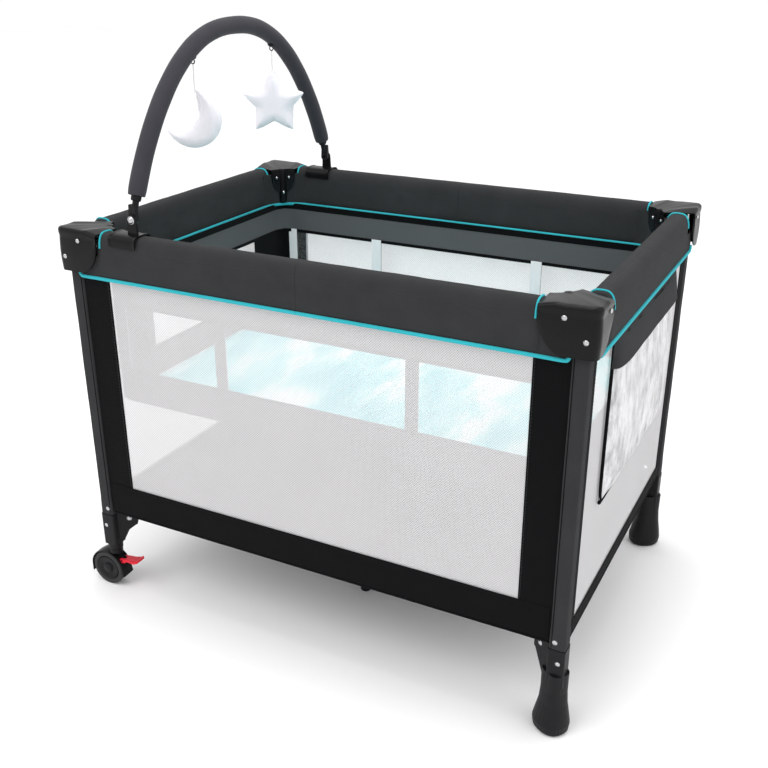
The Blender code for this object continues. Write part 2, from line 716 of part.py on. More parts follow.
def caster_hood(tag, sx, sy):
    """Web between the twin wheels, with the swivel stem, a lug and the pin that carries the brake lever."""
    place = (sx * POST_X, sy * POST_Y, 0)
    outline = []
    steps = 8
    for degrees in [195] + [180 - 97 * i / steps for i in range(steps + 1)]:
        t = math.radians(degrees)
        outline.append((-TRAIL + HOOD_RADIUS * math.cos(t), WHEEL_RADIUS + HOOD_RADIUS * math.sin(t)))
    px, pz = LEVER_PIVOT
    lug = 0.005
    outline += [(-0.011, HOOD_TOP - 0.004), (0.011, HOOD_TOP - 0.004), (0.012, HOOD_TOP - 0.014)]
    outline += [(px + lug * 0.7, pz + lug * 0.7), (px + lug, pz)]
    outline += [(px + lug * 0.7, pz - lug * 0.7), (px, pz - lug)]
    outline += [(0.008, WHEEL_RADIUS + 0.014), (0.004, WHEEL_RADIUS - 0.009), (-TRAIL, WHEEL_RADIUS - 0.012)]
    web = prism_bm(outline, HOOD_THICK / 2, Matrix.Identity(4))
    obj = add(f"caster_hood_{tag}", web, "black_plastic", place, smooth=40)
    under = 2 * WHEEL_RADIUS + 0.0016
    boss = [(0, under), (0.012, under), (0.014, under + 0.002), (0.014, HOOD_TOP)]
    boss += [(STEM_RADIUS, HOOD_TOP), (STEM_RADIUS, SOCKET_FLOOR - 0.004), (0, SOCKET_FLOOR - 0.004)]
    boolean(obj, cutter(f"boss_{tag}", turned_bm(boss, 20), place), "UNION")
    pin = cylinder_bm((px, -0.0095, pz), (px, 0.0095, pz), PIN_RADIUS, 12)
    boolean(obj, cutter(f"lever_pin_{tag}", pin, place), "UNION")
    bore_at = (-TRAIL, 0, WHEEL_RADIUS)
    bore = cylinder_bm((0, -0.02, 0), (0, 0.02, 0), AXLE_RADIUS + STEM_FIT, 20)
    where = tuple(a + b for a, b in zip(place, bore_at))
    boolean(obj, cutter(f"axle_bore_{tag}", bore, where), "DIFFERENCE")


def caster_wheels(tag, sx, sy):
    """Twin wheels turned as one piece with their axle."""
    near = HOOD_THICK / 2 + WHEEL_WEB_GAP
    far, r = WHEEL_HALF_WIDTH, WHEEL_RADIUS
    face = [(0, far - 0.003), (r - 0.010, far - 0.003)]
    half = face + [(r - 0.008, far), (r - 0.0015, far), (r, far - 0.0015), (r, near)]
    half.append((AXLE_RADIUS, near))
    profile = half + [(x, -z) for x, z in reversed(half)]
    bm = turned_bm(profile, 32)
    bmesh.ops.rotate(bm, matrix=Matrix.Rotation(math.pi / 2, 3, "X"), verts=bm.verts)
    add(f"caster_wheels_{tag}", bm, "rubber", (sx * POST_X - TRAIL, sy * POST_Y, WHEEL_RADIUS), smooth=35)


def brake_lever(tag, sx, sy):
    """Red foot pedal: two cheeks on the pin and a flared pad."""
    px, pz = LEVER_PIVOT
    origin = (sx * POST_X + px, sy * POST_Y, pz)
    far = LEVER_REACH
    eye = 0.005
    turns = [math.radians(a) for a in range(135, 315, 30)]
    cheek = [(eye * math.cos(t), eye * math.sin(t)) for t in turns]
    cheek += [(0.0085, -0.0035), (0.012, 0.0), (far, 0.004)]
    cheek += [(far + 0.002, 0.0065), (far, 0.009), (0.010, 0.0055)]
    body = prism_bm(cheek, LEVER_HALF_WIDTH - 0.0015, Matrix.Identity(4))
    obj = add(f"brake_lever_{tag}", body, "red_plastic", origin, smooth=40)
    gap = HOOD_THICK / 2 + 0.0006
    clear = box_bm((-PAST, -gap, -PAST), (0.0078, gap, 2 * PAST))
    boolean(obj, cutter(f"lever_gap_{tag}", clear, origin), "DIFFERENCE")
    bore = cylinder_bm((0, -0.02, 0), (0, 0.02, 0), PIN_RADIUS + PIN_FIT, 12)
    boolean(obj, cutter(f"lever_bore_{tag}", bore, origin), "DIFFERENCE")


# ----------------------------------------------------------------------  soft bodies


def enclosure_outline():
    """Plan of the fabric walls: out past the posts on each side, stepped in round each post."""
    wide_x, wide_y = POST_X + FABRIC_FACE, POST_Y + FABRIC_FACE
    in_x, in_y = POST_X - FABRIC_NOTCH, POST_Y - FABRIC_NOTCH
    quarter = [(in_x, wide_y), (in_x, in_y), (wide_x, in_y)]
    points = list(quarter)
    points += [(x, -y) for x, y in reversed(quarter)]
    points += [(-x, -y) for x, y in quarter]
    points += [(-x, y) for x, y in reversed(quarter)]
    return points


def fabric_enclosure():
    """Sewn walls and floor as one open-topped body."""
    bm = bmesh.new()
    low = [bm.verts.new((x, y, FLOOR_BOTTOM)) for x, y in enclosure_outline()]
    floor = bm.faces.new(low)
    made = bmesh.ops.extrude_face_region(bm, geom=[floor])["geom"]
    top = [g for g in made if isinstance(g, bmesh.types.BMVert)]
    bmesh.ops.translate(bm, vec=(0, 0, WALL_TOP - FLOOR_BOTTOM), verts=top)
    lids = [g for g in made if isinstance(g, bmesh.types.BMFace)]
    bmesh.ops.recalc_face_normals(bm, faces=bm.faces)
    bmesh.ops.delete(bm, geom=lids, context="FACES_ONLY")
    obj = add("fabric_enclosure", bm, "light_mesh")
    point_out(obj)
    solidify(obj, FABRIC)
    sx, sy = STRAP_SLIT
    slit = box_bm((-sx / 2, -sy / 2, FLOOR_BOTTOM - PAST), (sx / 2, sy / 2, FLOOR_BOTTOM + PAST))
    boolean(obj, cutter("strap_slit", slit), "DIFFERENCE")


def point_out(obj):
    """Make an open-topped tub's faces point away from its inside."""
    lowest = min(obj.data.polygons, key=lambda p: p.center.z)
    if lowest.normal.z > 0:
        obj.data.flip_normals()


def pouch():
    """Organiser pocket on the +X end: a shallow bag, open at the top, fuller at the bottom."""
    face = POUCH_FACE
    outline = [
        (0, POUCH_TOP),
        (POUCH_DEPTH_TOP, POUCH_TOP),
        (POUCH_DEPTH_LOW - 0.002, POUCH_BOTTOM + 0.08),
        (POUCH_DEPTH_LOW, POUCH_BOTTOM + 0.02),
        (POUCH_DEPTH_LOW - 0.008, POUCH_BOTTOM),
        (0, POUCH_BOTTOM),
    ]
    wall = POUCH_WALL
    inner = [
        (wall, POUCH_TOP + 0.01),
        (POUCH_DEPTH_TOP - wall, POUCH_TOP + 0.01),
        (POUCH_DEPTH_TOP - wall, POUCH_TOP),
        (POUCH_DEPTH_LOW - 0.002 - wall, POUCH_BOTTOM + 0.08),
        (POUCH_DEPTH_LOW - wall, POUCH_BOTTOM + 0.02),
        (POUCH_DEPTH_LOW - 0.009, POUCH_BOTTOM + wall),
        (wall, POUCH_BOTTOM + wall),
    ]
    body = prism_bm(outline, POUCH_WIDTH / 2, Matrix.Identity(4))
    obj = add("pouch", body, "charcoal_fabric", (face, 0, 0))
    hollow = prism_bm(inner, POUCH_WIDTH / 2 - wall, Matrix.Identity(4))
    boolean(obj, cutter("pouch_hollow", hollow, (face, 0, 0)), "DIFFERENCE")


def bassinet_tub():
    """Fabric tub that hangs inside the rails, open at the top."""
    bm = box_bm((-TUB_HALF_X, -TUB_HALF_Y, TUB_BOTTOM), (TUB_HALF_X, TUB_HALF_Y, TUB_TOP))
    bmesh.ops.delete(bm, geom=[f for f in bm.faces if f.normal.z > 0.5], context="FACES_ONLY")
    obj = add("bassinet_tub", bm, "charcoal_fabric")
    point_out(obj)
    upright = obj.data.attributes.new("bevel_weight_edge", "FLOAT", "EDGE")
    for edge in obj.data.edges:
        a, b = (obj.data.vertices[i].co for i in edge.vertices)
        upright.data[edge.index].value = 1.0 if abs(a.z - b.z) > 0.1 else 0.0
    mod = obj.modifiers.new("round", "BEVEL")
    mod.width = TUB_CORNER
    mod.segments = 4
    mod.limit_method = "WEIGHT"
    solidify(obj, TUB_WALL)


def mattress():
    bottom = TUB_BOTTOM + TUB_WALL + MATTRESS_GAP
    low = (-MATTRESS_HALF_X, -MATTRESS_HALF_Y, bottom)
    bm = box_bm(low, (MATTRESS_HALF_X, MATTRESS_HALF_Y, bottom + MATTRESS_THICK))
    bevel(add("mattress", bm, "print_fabric"), 0.008, 2)


# ----------------------------------------------------------------------  toy bar


def clamp(name, sy):
    """Saddle over the padded rail with an upright lug, a pin and its domed head."""
    origin = (TOY_BAR_X, sy * POST_Y, 0)
    half = PAD_WIDTH / 2 + CLAMP_GAP
    top = RAIL_HEIGHT + PAD_ABOVE + CLAMP_GAP
    section = [
        (-half - CLAMP_WALL, RAIL_HEIGHT - CLAMP_BELOW),
        (-half - CLAMP_WALL, top - 0.004),
        (-half + 0.001, top + CLAMP_WALL),
        (half - 0.001, top + CLAMP_WALL),
        (half + CLAMP_WALL, top - 0.004),
        (half + CLAMP_WALL, RAIL_HEIGHT - CLAMP_BELOW),
        (half, RAIL_HEIGHT - CLAMP_BELOW),
        (half, top),
        (-half, top),
        (-half, RAIL_HEIGHT - CLAMP_BELOW),
    ]
    middle = Matrix.Translation(((CLAMP_AHEAD - CLAMP_BACK) / 2, 0, 0))
    bm = prism_bm(section, (CLAMP_AHEAD + CLAMP_BACK) / 2, middle @ about_z(math.pi / 2))
    obj = add(name, bm, "black_plastic", origin, smooth=30)
    r = LUG_RADIUS
    outline = [(-r, top + 0.001), (r, top + 0.001), (r, LUG_PIVOT)]
    for i in range(1, 8):
        t = math.pi * i / 8
        outline.append((r * math.cos(t), LUG_PIVOT + r * math.sin(t)))
    outline.append((-r, LUG_PIVOT))
    out = sy * LUG_OUT
    lug = prism_bm(outline, LUG_THICK / 2, Matrix.Translation((0, out, 0)))
    boolean(obj, cutter(f"lug_{name}", lug, origin), "UNION")
    inner = out - sy * (LUG_THICK / 2 + TAB_GAP + ARCH_TAB + 0.002)
    pin = cylinder_bm((0, inner, LUG_PIVOT), (0, out, LUG_PIVOT), ARCH_PIN, 12)
    boolean(obj, cutter(f"pin_{name}", pin, origin), "UNION")
    head = cylinder_bm(
        (0, out + sy * (LUG_THICK / 2 - RIVET_TALL / 2), LUG_PIVOT),
        (0, out + sy * (LUG_THICK / 2 + RIVET_TALL), LUG_PIVOT),
        RIVET_RADIUS,
        20,
        end_radius=RIVET_RADIUS * 0.6,
    )
    boolean(obj, cutter(f"head_{name}", head, origin), "UNION")


def arch_point(angle):
    """A point on the arch's line: a curve between an ellipse and a rounded gable."""
    rise = math.sin(angle)
    across = (1 - min(rise, 1) ** ARCH_TOP_POWER) ** (1 / ARCH_SIDE_POWER)
    return Vector((0, -math.copysign(across, math.cos(angle)) * TAB_CENTRE, ARCH_RISE * rise))


def arch_points(first, last, count):
    return [arch_point(first + (last - first) * i / (count - 1)) for i in range(count)]


def toy_arch():
    """Bent tube with a flat tab at each end on the clamps' pins."""
    origin = (TOY_BAR_X, 0, LUG_PIVOT)
    start = 0.045
    tube = sweep_bm(arch_points(start, math.pi - start, 29), ARCH_RADIUS, 2)
    obj = add("toy_arch", tube, "black_plastic", origin, smooth=40)
    r, tall = ARCH_TAB_RADIUS, ARCH_TAB_TALL
    outline = [(r, 0.0), (r * 0.8, tall), (-r * 0.8, tall), (-r, 0.0)]
    for i in range(1, 8):
        t = math.pi + math.pi * i / 8
        outline.append((r * math.cos(t), r * math.sin(t)))
    for label, sy in (("front", -1), ("back", 1)):
        y = sy * TAB_CENTRE
        tab = prism_bm(outline, ARCH_TAB / 2, Matrix.Translation((0, y, 0)))
        boolean(obj, cutter(f"arch_tab_{label}", tab, origin), "UNION")
        bore = cylinder_bm((0, y - PAST, 0), (0, y + PAST, 0), ARCH_PIN + ARCH_PIN_FIT, 12)
        boolean(obj, cutter(f"arch_bore_{label}", bore, origin), "DIFFERENCE")


def toy_foam():
    """Foam sleeve over the arch."""
    bm = sweep_bm(arch_points(FOAM_START, math.pi - FOAM_START, 29), FOAM_RADIUS, 3, caps=False)
    obj = add("toy_foam", bm, "foam", (TOY_BAR_X, 0, LUG_PIVOT), smooth=60)
    outward(obj)
    solidify(obj, FOAM_RADIUS - FOAM_BORE)


def outward(obj):
    """Turn a swept tube's faces away from the arch's line."""
    face = max(obj.data.polygons, key=lambda p: p.center.z)
    if face.normal.z < 0:
        obj.data.flip_normals()


def moon_outline():
    """Crescent under its upper horn: an outer arc and the arc of the bite taken out of it."""
    big, small, shift = MOON_RADIUS, MOON_RADIUS * MOON_BITE, MOON_RADIUS * MOON_BITE_AT
    turn, horn = math.radians(MOON_TURN), math.radians(MOON_HORN)
    steps = 20
    outer = []
    for i in range(steps + 1):
        t = turn + horn + (2 * math.pi - 2 * horn) * i / steps
        outer.append((big * math.cos(t), big * math.sin(t)))
    bite = (shift * math.cos(turn), shift * math.sin(turn))
    edge = math.atan2(big * math.sin(horn), shift - big * math.cos(horn))
    inner = []
    for i in range(steps + 1):
        t = turn + math.pi + edge - 2 * edge * i / steps
        inner.append((bite[0] + small * math.cos(t), bite[1] + small * math.sin(t)))
    hang = outer[-1][0]
    return [(x - hang, z) for x, z in outer + inner]


def star_outline():
    points = []
    for i in range(10):
        t = math.pi / 2 + math.pi * i / 5
        r = STAR_RADIUS if i % 2 == 0 else STAR_RADIUS * STAR_WAIST
        points.append((r * math.cos(t), r * math.sin(t)))
    return points


def hanging_toy(name, outline, angle, string, hang_from):
    """Plush toy with its string and the ring that goes round the foam, turning about the arch's line."""
    hook = arch_point(angle) + Vector((TOY_BAR_X, 0, LUG_PIVOT))
    tangent = arch_point(angle + 0.01) - arch_point(angle - 0.01)
    lean = math.cos(math.atan2(tangent.z, tangent.y))
    ring_radius = (FOAM_RADIUS + HOOK_TUBE) / lean + HOOK_TUBE
    top = -ring_radius
    centre = top - string - hang_from
    place = Matrix.Translation((0, 0, centre)) @ about_z(TOY_YAW)
    obj = add(name, prism_bm(outline, TOY_HALF_THICK, place), "plush", hook, smooth=50)
    bevel(obj, 0.007, 2, 30)
    line = cylinder_bm((0, 0, top), (0, 0, centre + hang_from - 0.01), STRING_RADIUS, 8)
    boolean(obj, cutter(f"{name}_string", line, hook), "UNION")
    steps = 24
    turns = [2 * math.pi * i / steps for i in range(steps)]
    loop = [(ring_radius * math.cos(t), 0, ring_radius * math.sin(t)) for t in turns]
    band = sweep_bm(loop, HOOK_TUBE, 1, closed=True)
    boolean(obj, cutter(f"{name}_ring", band, hook), "UNION")


# ----------------------------------------------------------------------  assembly


def build():
    for tag, (sx, sy) in CORNERS.items():
        post(tag, sx, sy)
        cap(tag, sx, sy)
        base_tube(tag, sx, sy)
        if sx > 0:
            foot(tag, sx, sy)
        else:
            caster_bracket(tag, sx, sy)
            caster_hood(tag, sx, sy)
            caster_wheels(tag, sx, sy)
            brake_lever(tag, sx, sy)
    for side_name in SIDES:
        top_rail(side_name)
    hub()
    hub_leg("hub_leg_front", -1)
    hub_leg("hub_leg_back", 1)
    pull_strap()
    fabric_enclosure()
    pouch()
    bassinet_tub()
    mattress()
    clamp("toy_clamp_front", -1)
    clamp("toy_clamp_back", 1)
    toy_arch()
    toy_foam()
    moon_top = MOON_RADIUS * math.sin(math.radians(MOON_TURN - MOON_HORN))
    hanging_toy("toy_moon", moon_outline(), MOON_ANGLE, MOON_STRING, moon_top)
    hanging_toy("toy_star", star_outline(), STAR_ANGLE, STAR_STRING, STAR_RADIUS)


clear_scene()
PARTS = collection("travel_play_yard")
CUTTERS = collection("cutters")
YARD = bpy.data.objects.new("yard_centre", None)
YARD.location = (SHIFT_X, 0, 0)
PARTS.objects.link(YARD)
bpy.context.view_layer.update()
build()
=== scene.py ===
"""Looks of the travel play yard: fabric, padding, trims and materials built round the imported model.

Lengths are in metres. Each side of the yard has its own directions: s runs along the side from its middle,
w runs outward from the line of the posts, and z is height.
"""

import json
import math

import bmesh
import bpy
import numpy as np
from mathutils import Matrix, Vector, noise


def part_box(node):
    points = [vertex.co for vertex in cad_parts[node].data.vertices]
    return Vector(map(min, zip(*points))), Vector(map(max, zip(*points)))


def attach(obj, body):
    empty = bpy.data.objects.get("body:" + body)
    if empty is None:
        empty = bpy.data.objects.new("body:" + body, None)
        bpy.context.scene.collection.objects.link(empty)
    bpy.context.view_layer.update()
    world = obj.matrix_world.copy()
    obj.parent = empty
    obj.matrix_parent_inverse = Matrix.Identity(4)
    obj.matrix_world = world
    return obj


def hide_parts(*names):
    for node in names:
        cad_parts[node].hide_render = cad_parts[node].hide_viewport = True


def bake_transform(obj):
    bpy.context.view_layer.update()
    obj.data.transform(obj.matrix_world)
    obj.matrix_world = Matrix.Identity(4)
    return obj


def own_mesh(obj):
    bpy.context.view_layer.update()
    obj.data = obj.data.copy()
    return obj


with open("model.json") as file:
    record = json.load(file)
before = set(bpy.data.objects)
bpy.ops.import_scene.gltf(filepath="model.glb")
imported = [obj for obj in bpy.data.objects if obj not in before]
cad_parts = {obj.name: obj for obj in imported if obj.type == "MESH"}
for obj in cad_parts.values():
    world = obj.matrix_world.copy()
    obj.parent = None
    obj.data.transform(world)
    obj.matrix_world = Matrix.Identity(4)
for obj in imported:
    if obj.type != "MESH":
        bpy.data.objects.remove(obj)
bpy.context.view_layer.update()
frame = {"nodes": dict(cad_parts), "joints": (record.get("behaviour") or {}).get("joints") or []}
NODES = frame["nodes"]
JOINTS = {joint["name"]: joint for joint in frame["joints"]}

# ---- places from the frame


def centre(node):
    low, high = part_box(node)
    return (low + high) / 2


SIGNS = {"fl": (-1, -1), "fr": (1, -1), "bl": (-1, 1), "br": (1, 1)}
POSTS = {tag: centre("post_" + tag) for tag in SIGNS}
XL, XR = POSTS["fl"].x, POSTS["fr"].x
YF, YB = POSTS["fl"].y, POSTS["bl"].y
XM = (XL + XR) / 2
HALF_X, HALF_Y = (XR - XL) / 2, (YB - YF) / 2
CAP_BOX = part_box("corner_cap_fl")
CAP_LOW, CAP_TOP = CAP_BOX[0].z, CAP_BOX[1].z
CAP_REACH = CAP_BOX[1].x - XL  # post axis to a wing's tip
CAP_OUT = XL - CAP_BOX[0].x  # post axis to a cap's outer face
FLOOR_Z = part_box("fabric_enclosure")[0].z
TUB_LOW, TUB_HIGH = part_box("bassinet_tub")
FOLD_ANGLE = math.radians(JOINTS["fold"]["range_deg"][1])

# heights and reaches of the sewn cover
PIPING_Z = 0.700
PIPING_RADIUS = 0.0033
PIPING_OUT = 0.0205
SLEEVE_LOW = 0.7005
SLEEVE_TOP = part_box("rail_pad_front_a")[1].z + 0.001
SLEEVE_HALF = 0.0215
RING_LOW = 0.7480  # the teal rings cover only the upper part of a sleeve's end
SKIRT_OUT = 0.0215
CLOTH = 0.0012  # thickness of the cover's unpadded cloth
CORNER_REACH = 0.092  # post axis to where the inner cover starts round a corner
PANEL_OUT = 0.0090
STRIP_EDGE = 0.075  # post axis to the inner edge of a black corner strip, long sides
END_STRIP_EDGE = 0.040  # and short sides
STRIP_THICK = 0.0024
BAND_TOP = 0.255
END_BAND_TOP = 0.214
BAND_OUT = PANEL_OUT + 0.0022
SLEEVE_POST = 0.0143  # half width of the fabric sleeve on a post
WINDOW_LOW, WINDOW_TOP = 0.500, 0.635

# trims
CAP_BEND = 0.0150  # radius of a cap's outer corner
CAP_RIM = 0.0060  # radius of the bead round its top
CAP_RIVET_OUT = CAP_OUT + 0.0014
CLAMP_MIDDLE = 0.7715  # height at which a clamp's sides turn straight down
WHEEL_GAP = 0.0052  # half the gap between the twin wheels

HALVES = (("a", -1), ("b", 1))
ENDS = (("start", -1), ("end", 1))
FACES = (("out", 1), ("in", -1))


def folded_share(half, axis):
    """Share of a side's length that is left between its posts when the frame is folded."""
    pivots = [joint["pos_m"][axis] for name, joint in JOINTS.items() if name.startswith("fold_post")]
    inset = (XR, YB)[axis] - max(pivots)
    run = half - inset - abs(JOINTS["fold_tube_br"]["pos_m"][axis] - (XM, 0.0)[axis])
    return (half - run * (1 - math.cos(FOLD_ANGLE))) / half


KEEP_X, KEEP_Y = folded_share(HALF_X, 0), folded_share(HALF_Y, 1)
X, Y = Vector((1, 0, 0)), Vector((0, 1, 0))

SIDES = {
    # name: along, outward, middle of the side, half length, body at -s, body at +s, folded share
    "front": (X, -Y, Vector((XM, YF, 0)), HALF_X, "post_fl", "post_fr", KEEP_X),
    "back": (X, Y, Vector((XM, YB, 0)), HALF_X, "post_bl", "post_br", KEEP_X),
    "left": (Y, -X, Vector((XL, 0, 0)), HALF_Y, "post_fl", "post_bl", KEEP_Y),
    "right": (Y, X, Vector((XR, 0, 0)), HALF_Y, "post_fr", "post_br", KEEP_Y),
}


def at(side, s, w, z):
    along, out, middle = SIDES[side][:3]
    return middle + along * s + out * w + Vector((0, 0, z))


def long_side(side):
    return side in ("front", "back")


# ---- material nodes


def tint(colour, factor, lift=0.0):
    return tuple(min(1, c * factor + lift) for c in colour)


class Shader:
    """A Principled material under construction, with short helpers for its procedural nodes."""

    def __init__(self, name, colour, roughness, metallic=0.0, sheen=0.0, coat=0.0, specular=0.5, painted_glow=0.0):
        self.material = bpy.data.materials.new(name)
        self.material.use_nodes = True
        self.tree = self.material.node_tree
        self.bsdf = self.tree.nodes["Principled BSDF"]
        self.set("Base Color", (*colour, 1))
        self.set("Roughness", roughness)
        self.set("Metallic", metallic)
        self.set("Sheen Weight", sheen)
        self.set("Coat Weight", coat)
        self.set("Specular IOR Level", specular)
        # Emission is painted light: a white glow, zero by default, that makes thin fabric look lit from behind.
        self.set("Emission Color", (1, 1, 1, 1))
        self.set("Emission Strength", painted_glow)
        self.coords = self.node("ShaderNodeTexCoord").outputs["Object"]
        self.normal = None

    def set(self, socket, value):
        self.bsdf.inputs[socket].default_value = value

    def node(self, kind, values=None, **settings):
        made = self.tree.nodes.new(kind)
        for key, value in settings.items():
            setattr(made, key, value)
        for key, value in (values or {}).items():
            made.inputs[key].default_value = value
        return made

    def link(self, out, to):
        self.tree.links.new(out, to)

    def drive(self, socket, out):
        self.link(out, self.bsdf.inputs[socket])

    def noise(self, scale, detail=3.0, roughness=0.55, stretch=(1, 1, 1), rotation=(0, 0, 0)):
        made = self.node("ShaderNodeTexNoise", {"Scale": scale, "Detail": detail, "Roughness": roughness})
        mapping = self.node("ShaderNodeMapping", {"Scale": stretch, "Rotation": rotation})
        self.link(self.coords, mapping.inputs["Vector"])
        self.link(mapping.outputs["Vector"], made.inputs["Vector"])
        return made.outputs["Fac"]

    def flat_cells(self, pitch):
        """Distance to the nearest thread of a net in an upright wall that faces X or Y."""
        parts = self.node("ShaderNodeSeparateXYZ")
        self.link(self.coords, parts.inputs[0])
        run = self.math("ADD", parts.outputs["X"], parts.outputs["Y"])
        plane = self.node("ShaderNodeCombineXYZ")
        self.link(self.math("ADD", run, parts.outputs["Z"]), plane.inputs["X"])
        self.link(self.math("SUBTRACT", run, parts.outputs["Z"]), plane.inputs["Y"])
        cells = self.node(
            "ShaderNodeTexVoronoi", {"Scale": 1 / pitch, "Randomness": 0.0},
            feature="DISTANCE_TO_EDGE", voronoi_dimensions="2D",
        )
        self.link(plane.outputs["Vector"], cells.inputs["Vector"])
        return cells.outputs["Distance"]

    def wave(self, direction, pitch):
        scale = {"Scale": math.pi / (10 * pitch) * 2}
        made = self.node("ShaderNodeTexWave", scale, wave_type="BANDS", bands_direction=direction)
        self.link(self.coords, made.inputs["Vector"])
        return made.outputs["Fac"]

    def math(self, operation, a, b):
        """The result of a node that combines an output with another output or a number."""
        made = self.node("ShaderNodeMath", operation=operation)
        for socket, value in zip(made.inputs, (a, b)):
            if isinstance(value, (int, float)):
                socket.default_value = value
            else:
                self.link(value, socket)
        return made.outputs[0]

    def remap(self, value, low, high, from_low=0.0, from_high=1.0):
        limits = {"From Min": from_low, "From Max": from_high, "To Min": low, "To Max": high}
        made = self.node("ShaderNodeMapRange", limits)
        self.link(value, made.inputs["Value"])
        return made.outputs["Result"]

    def blend_colours(self, factor, first, second, places=(0.0, 1.0)):
        ramp = self.node("ShaderNodeValToRGB")
        for stop, colour, place in zip(ramp.color_ramp.elements, (first, second), places):
            stop.color, stop.position = (*colour, 1), place
        self.link(factor, ramp.inputs["Fac"])
        self.drive("Base Color", ramp.outputs["Color"])
        return ramp.color_ramp.elements

    def add_bump(self, height, strength, distance):
        """One more layer of relief over those already there."""
        bump = self.node("ShaderNodeBump", {"Strength": strength, "Distance": distance})
        self.link(height, bump.inputs["Height"])
        if self.normal is not None:
            self.link(self.normal, bump.inputs["Normal"])
        self.normal = bump.outputs["Normal"]
        self.drive("Normal", self.normal)

    def rough(self, factor, low, high):
        self.drive("Roughness", self.remap(factor, low, high))


def woven(name, colour, pitch=0.0011, sheen=0.02, variation=0.35, crease=0.5, painted_glow=0.0):
    """Plain weave: threads both ways, slow colour change and soft creases, and an optional white glow that is
    painted light, as if lit from behind.
    """
    s = Shader(name, colour, 0.88, sheen=sheen, specular=0.08, painted_glow=painted_glow)
    warp, weft = (s.math("MULTIPLY", s.wave(across, pitch), s.wave("Z", pitch)) for across in "XY")
    threads = s.math("ADD", warp, weft)
    cloudy = s.noise(14, 4)
    shade = s.math("ADD", s.math("MULTIPLY", cloudy, 0.7), s.math("MULTIPLY", threads, 0.2))
    s.blend_colours(shade, tint(colour, 1 - variation), tint(colour, 1 + variation))
    s.add_bump(s.noise(26, 3), crease, 0.0012)
    s.add_bump(threads, 0.45, 0.0003)
    s.rough(cloudy, 0.80, 0.94)
    return s.material


def net(name, colour, pitch, open_alpha, thread_alpha, sheen=0.0, painted_glow=0.0):
    """Knitted net: rows of small holes between threads, and an optional white glow that is painted light, as if
    lit from behind.
    """
    s = Shader(name, colour, 0.75, sheen=sheen, specular=0.1, painted_glow=painted_glow)
    edge = s.remap(s.flat_cells(pitch), 1.0, 0.0, 0.10, 0.36)
    s.drive("Alpha", s.remap(edge, open_alpha, thread_alpha))
    s.add_bump(edge, 0.5, 0.0003)
    s.blend_colours(s.noise(9, 3), tint(colour, 0.94), tint(colour, 1.04))
    return s.material


def plastic(name, colour, low=0.26, high=0.44, grain=0.08):
    """Moulded plastic: fine grain, slight polish change, and scuffs that lighten it."""
    s = Shader(name, colour, low, specular=0.14)
    cloudy = s.noise(34, 4)
    s.rough(cloudy, low, high)
    s.add_bump(s.noise(1400, 2), grain, 0.0002)
    s.blend_colours(cloudy, tint(colour, 0.82), tint(colour, 1.3, 0.002))
    return s.material


def metal(name, colour, low=0.16, high=0.34, brushed=(1, 1, 1)):
    s = Shader(name, colour, low, metallic=1.0)
    lines = s.noise(180, 3, stretch=brushed)
    s.rough(lines, low, high)
    s.add_bump(lines, 0.08, 0.0002)
    s.blend_colours(s.noise(30), tint(colour, 0.85), colour)
    return s.material


def tyre():
    s = Shader("tyre_black", (0.022, 0.022, 0.023), 0.7, specular=0.3)
    cloudy = s.noise(60, 4)
    s.blend_colours(cloudy, (0.014, 0.014, 0.015), (0.040, 0.040, 0.041))
    s.rough(cloudy, 0.55, 0.85)
    s.add_bump(s.noise(900, 2), 0.15, 0.0003)
    return s.material


def foam_grey():
    s = Shader("foam_grey", (0.034, 0.033, 0.040), 0.9, sheen=0.10, specular=0.2)
    pores = s.node("ShaderNodeTexVoronoi", {"Scale": 700})
    s.link(s.coords, pores.inputs["Vector"])
    s.blend_colours(s.noise(18, 4), (0.026, 0.025, 0.031), (0.044, 0.042, 0.051))
    s.add_bump(s.noise(60, 2), 0.25, 0.0010)
    s.add_bump(pores.outputs["Distance"], 0.5, 0.0004)
    return s.material


def plush(name, colour):
    s = Shader(name, colour, 0.95, sheen=0.6, specular=0.1)
    s.set("Subsurface Weight", 0.08)
    s.set("Subsurface Radius", (0.004, 0.003, 0.003))
    pile = s.noise(520, 3, 0.7)
    s.blend_colours(s.noise(40, 3), tint(colour, 0.93), colour)
    s.add_bump(s.noise(70, 3), 0.35, 0.0015)
    s.add_bump(pile, 0.7, 0.0009)
    return s.material


def streaky_print():
    """White cotton with slanting aqua brush streaks, quilted."""
    s = Shader("aqua_print", (0.7, 0.92, 0.93), 0.85, sheen=0.15, specular=0.2)
    slant = (0, 0, math.radians(38))
    fine = s.noise(11, 5, 0.62, (1.0, 0.32, 1.0), slant)
    wide = s.noise(5, 2, 0.5, (1.0, 0.45, 1.0), slant)
    mix = s.math("ADD", s.math("MULTIPLY", fine, 0.75), s.math("MULTIPLY", wide, 0.25))
    stops = s.blend_colours(mix, (0.90, 1.0, 1.0), (0.07, 0.66, 0.72), (0.42, 0.60))
    stops.new(0.49).color = (0.34, 0.88, 0.90, 1)
    s.add_bump(s.math("MULTIPLY", s.wave("X", 0.0009), s.wave("Y", 0.0009)), 0.3, 0.0003)
    return s.material


def pouch_sheer():
    """Shiny thin mesh of the pouch's front, half clear, with painted shade in its creases and painted
    highlights on its crinkles.
    """
    s = Shader("pouch_sheer", (0.78, 0.78, 0.80), 0.28, coat=0.4, sheen=0.1)
    edge = s.remap(s.flat_cells(0.0034), 1.0, 0.0, 0.08, 0.34)
    s.drive("Alpha", s.remap(edge, 0.62, 0.90))
    folds = s.noise(20, 6, 0.70, (1, 1.5, 0.8))
    # Colour follows the folds' relief: painted shade in the creases and painted highlight on the crests.
    s.blend_colours(folds, (0.26, 0.26, 0.27), (0.78, 0.78, 0.80), (0.36, 0.60))
    s.add_bump(folds, 1.0, 0.009)
    s.rough(folds, 0.2, 0.45)
    return s.material


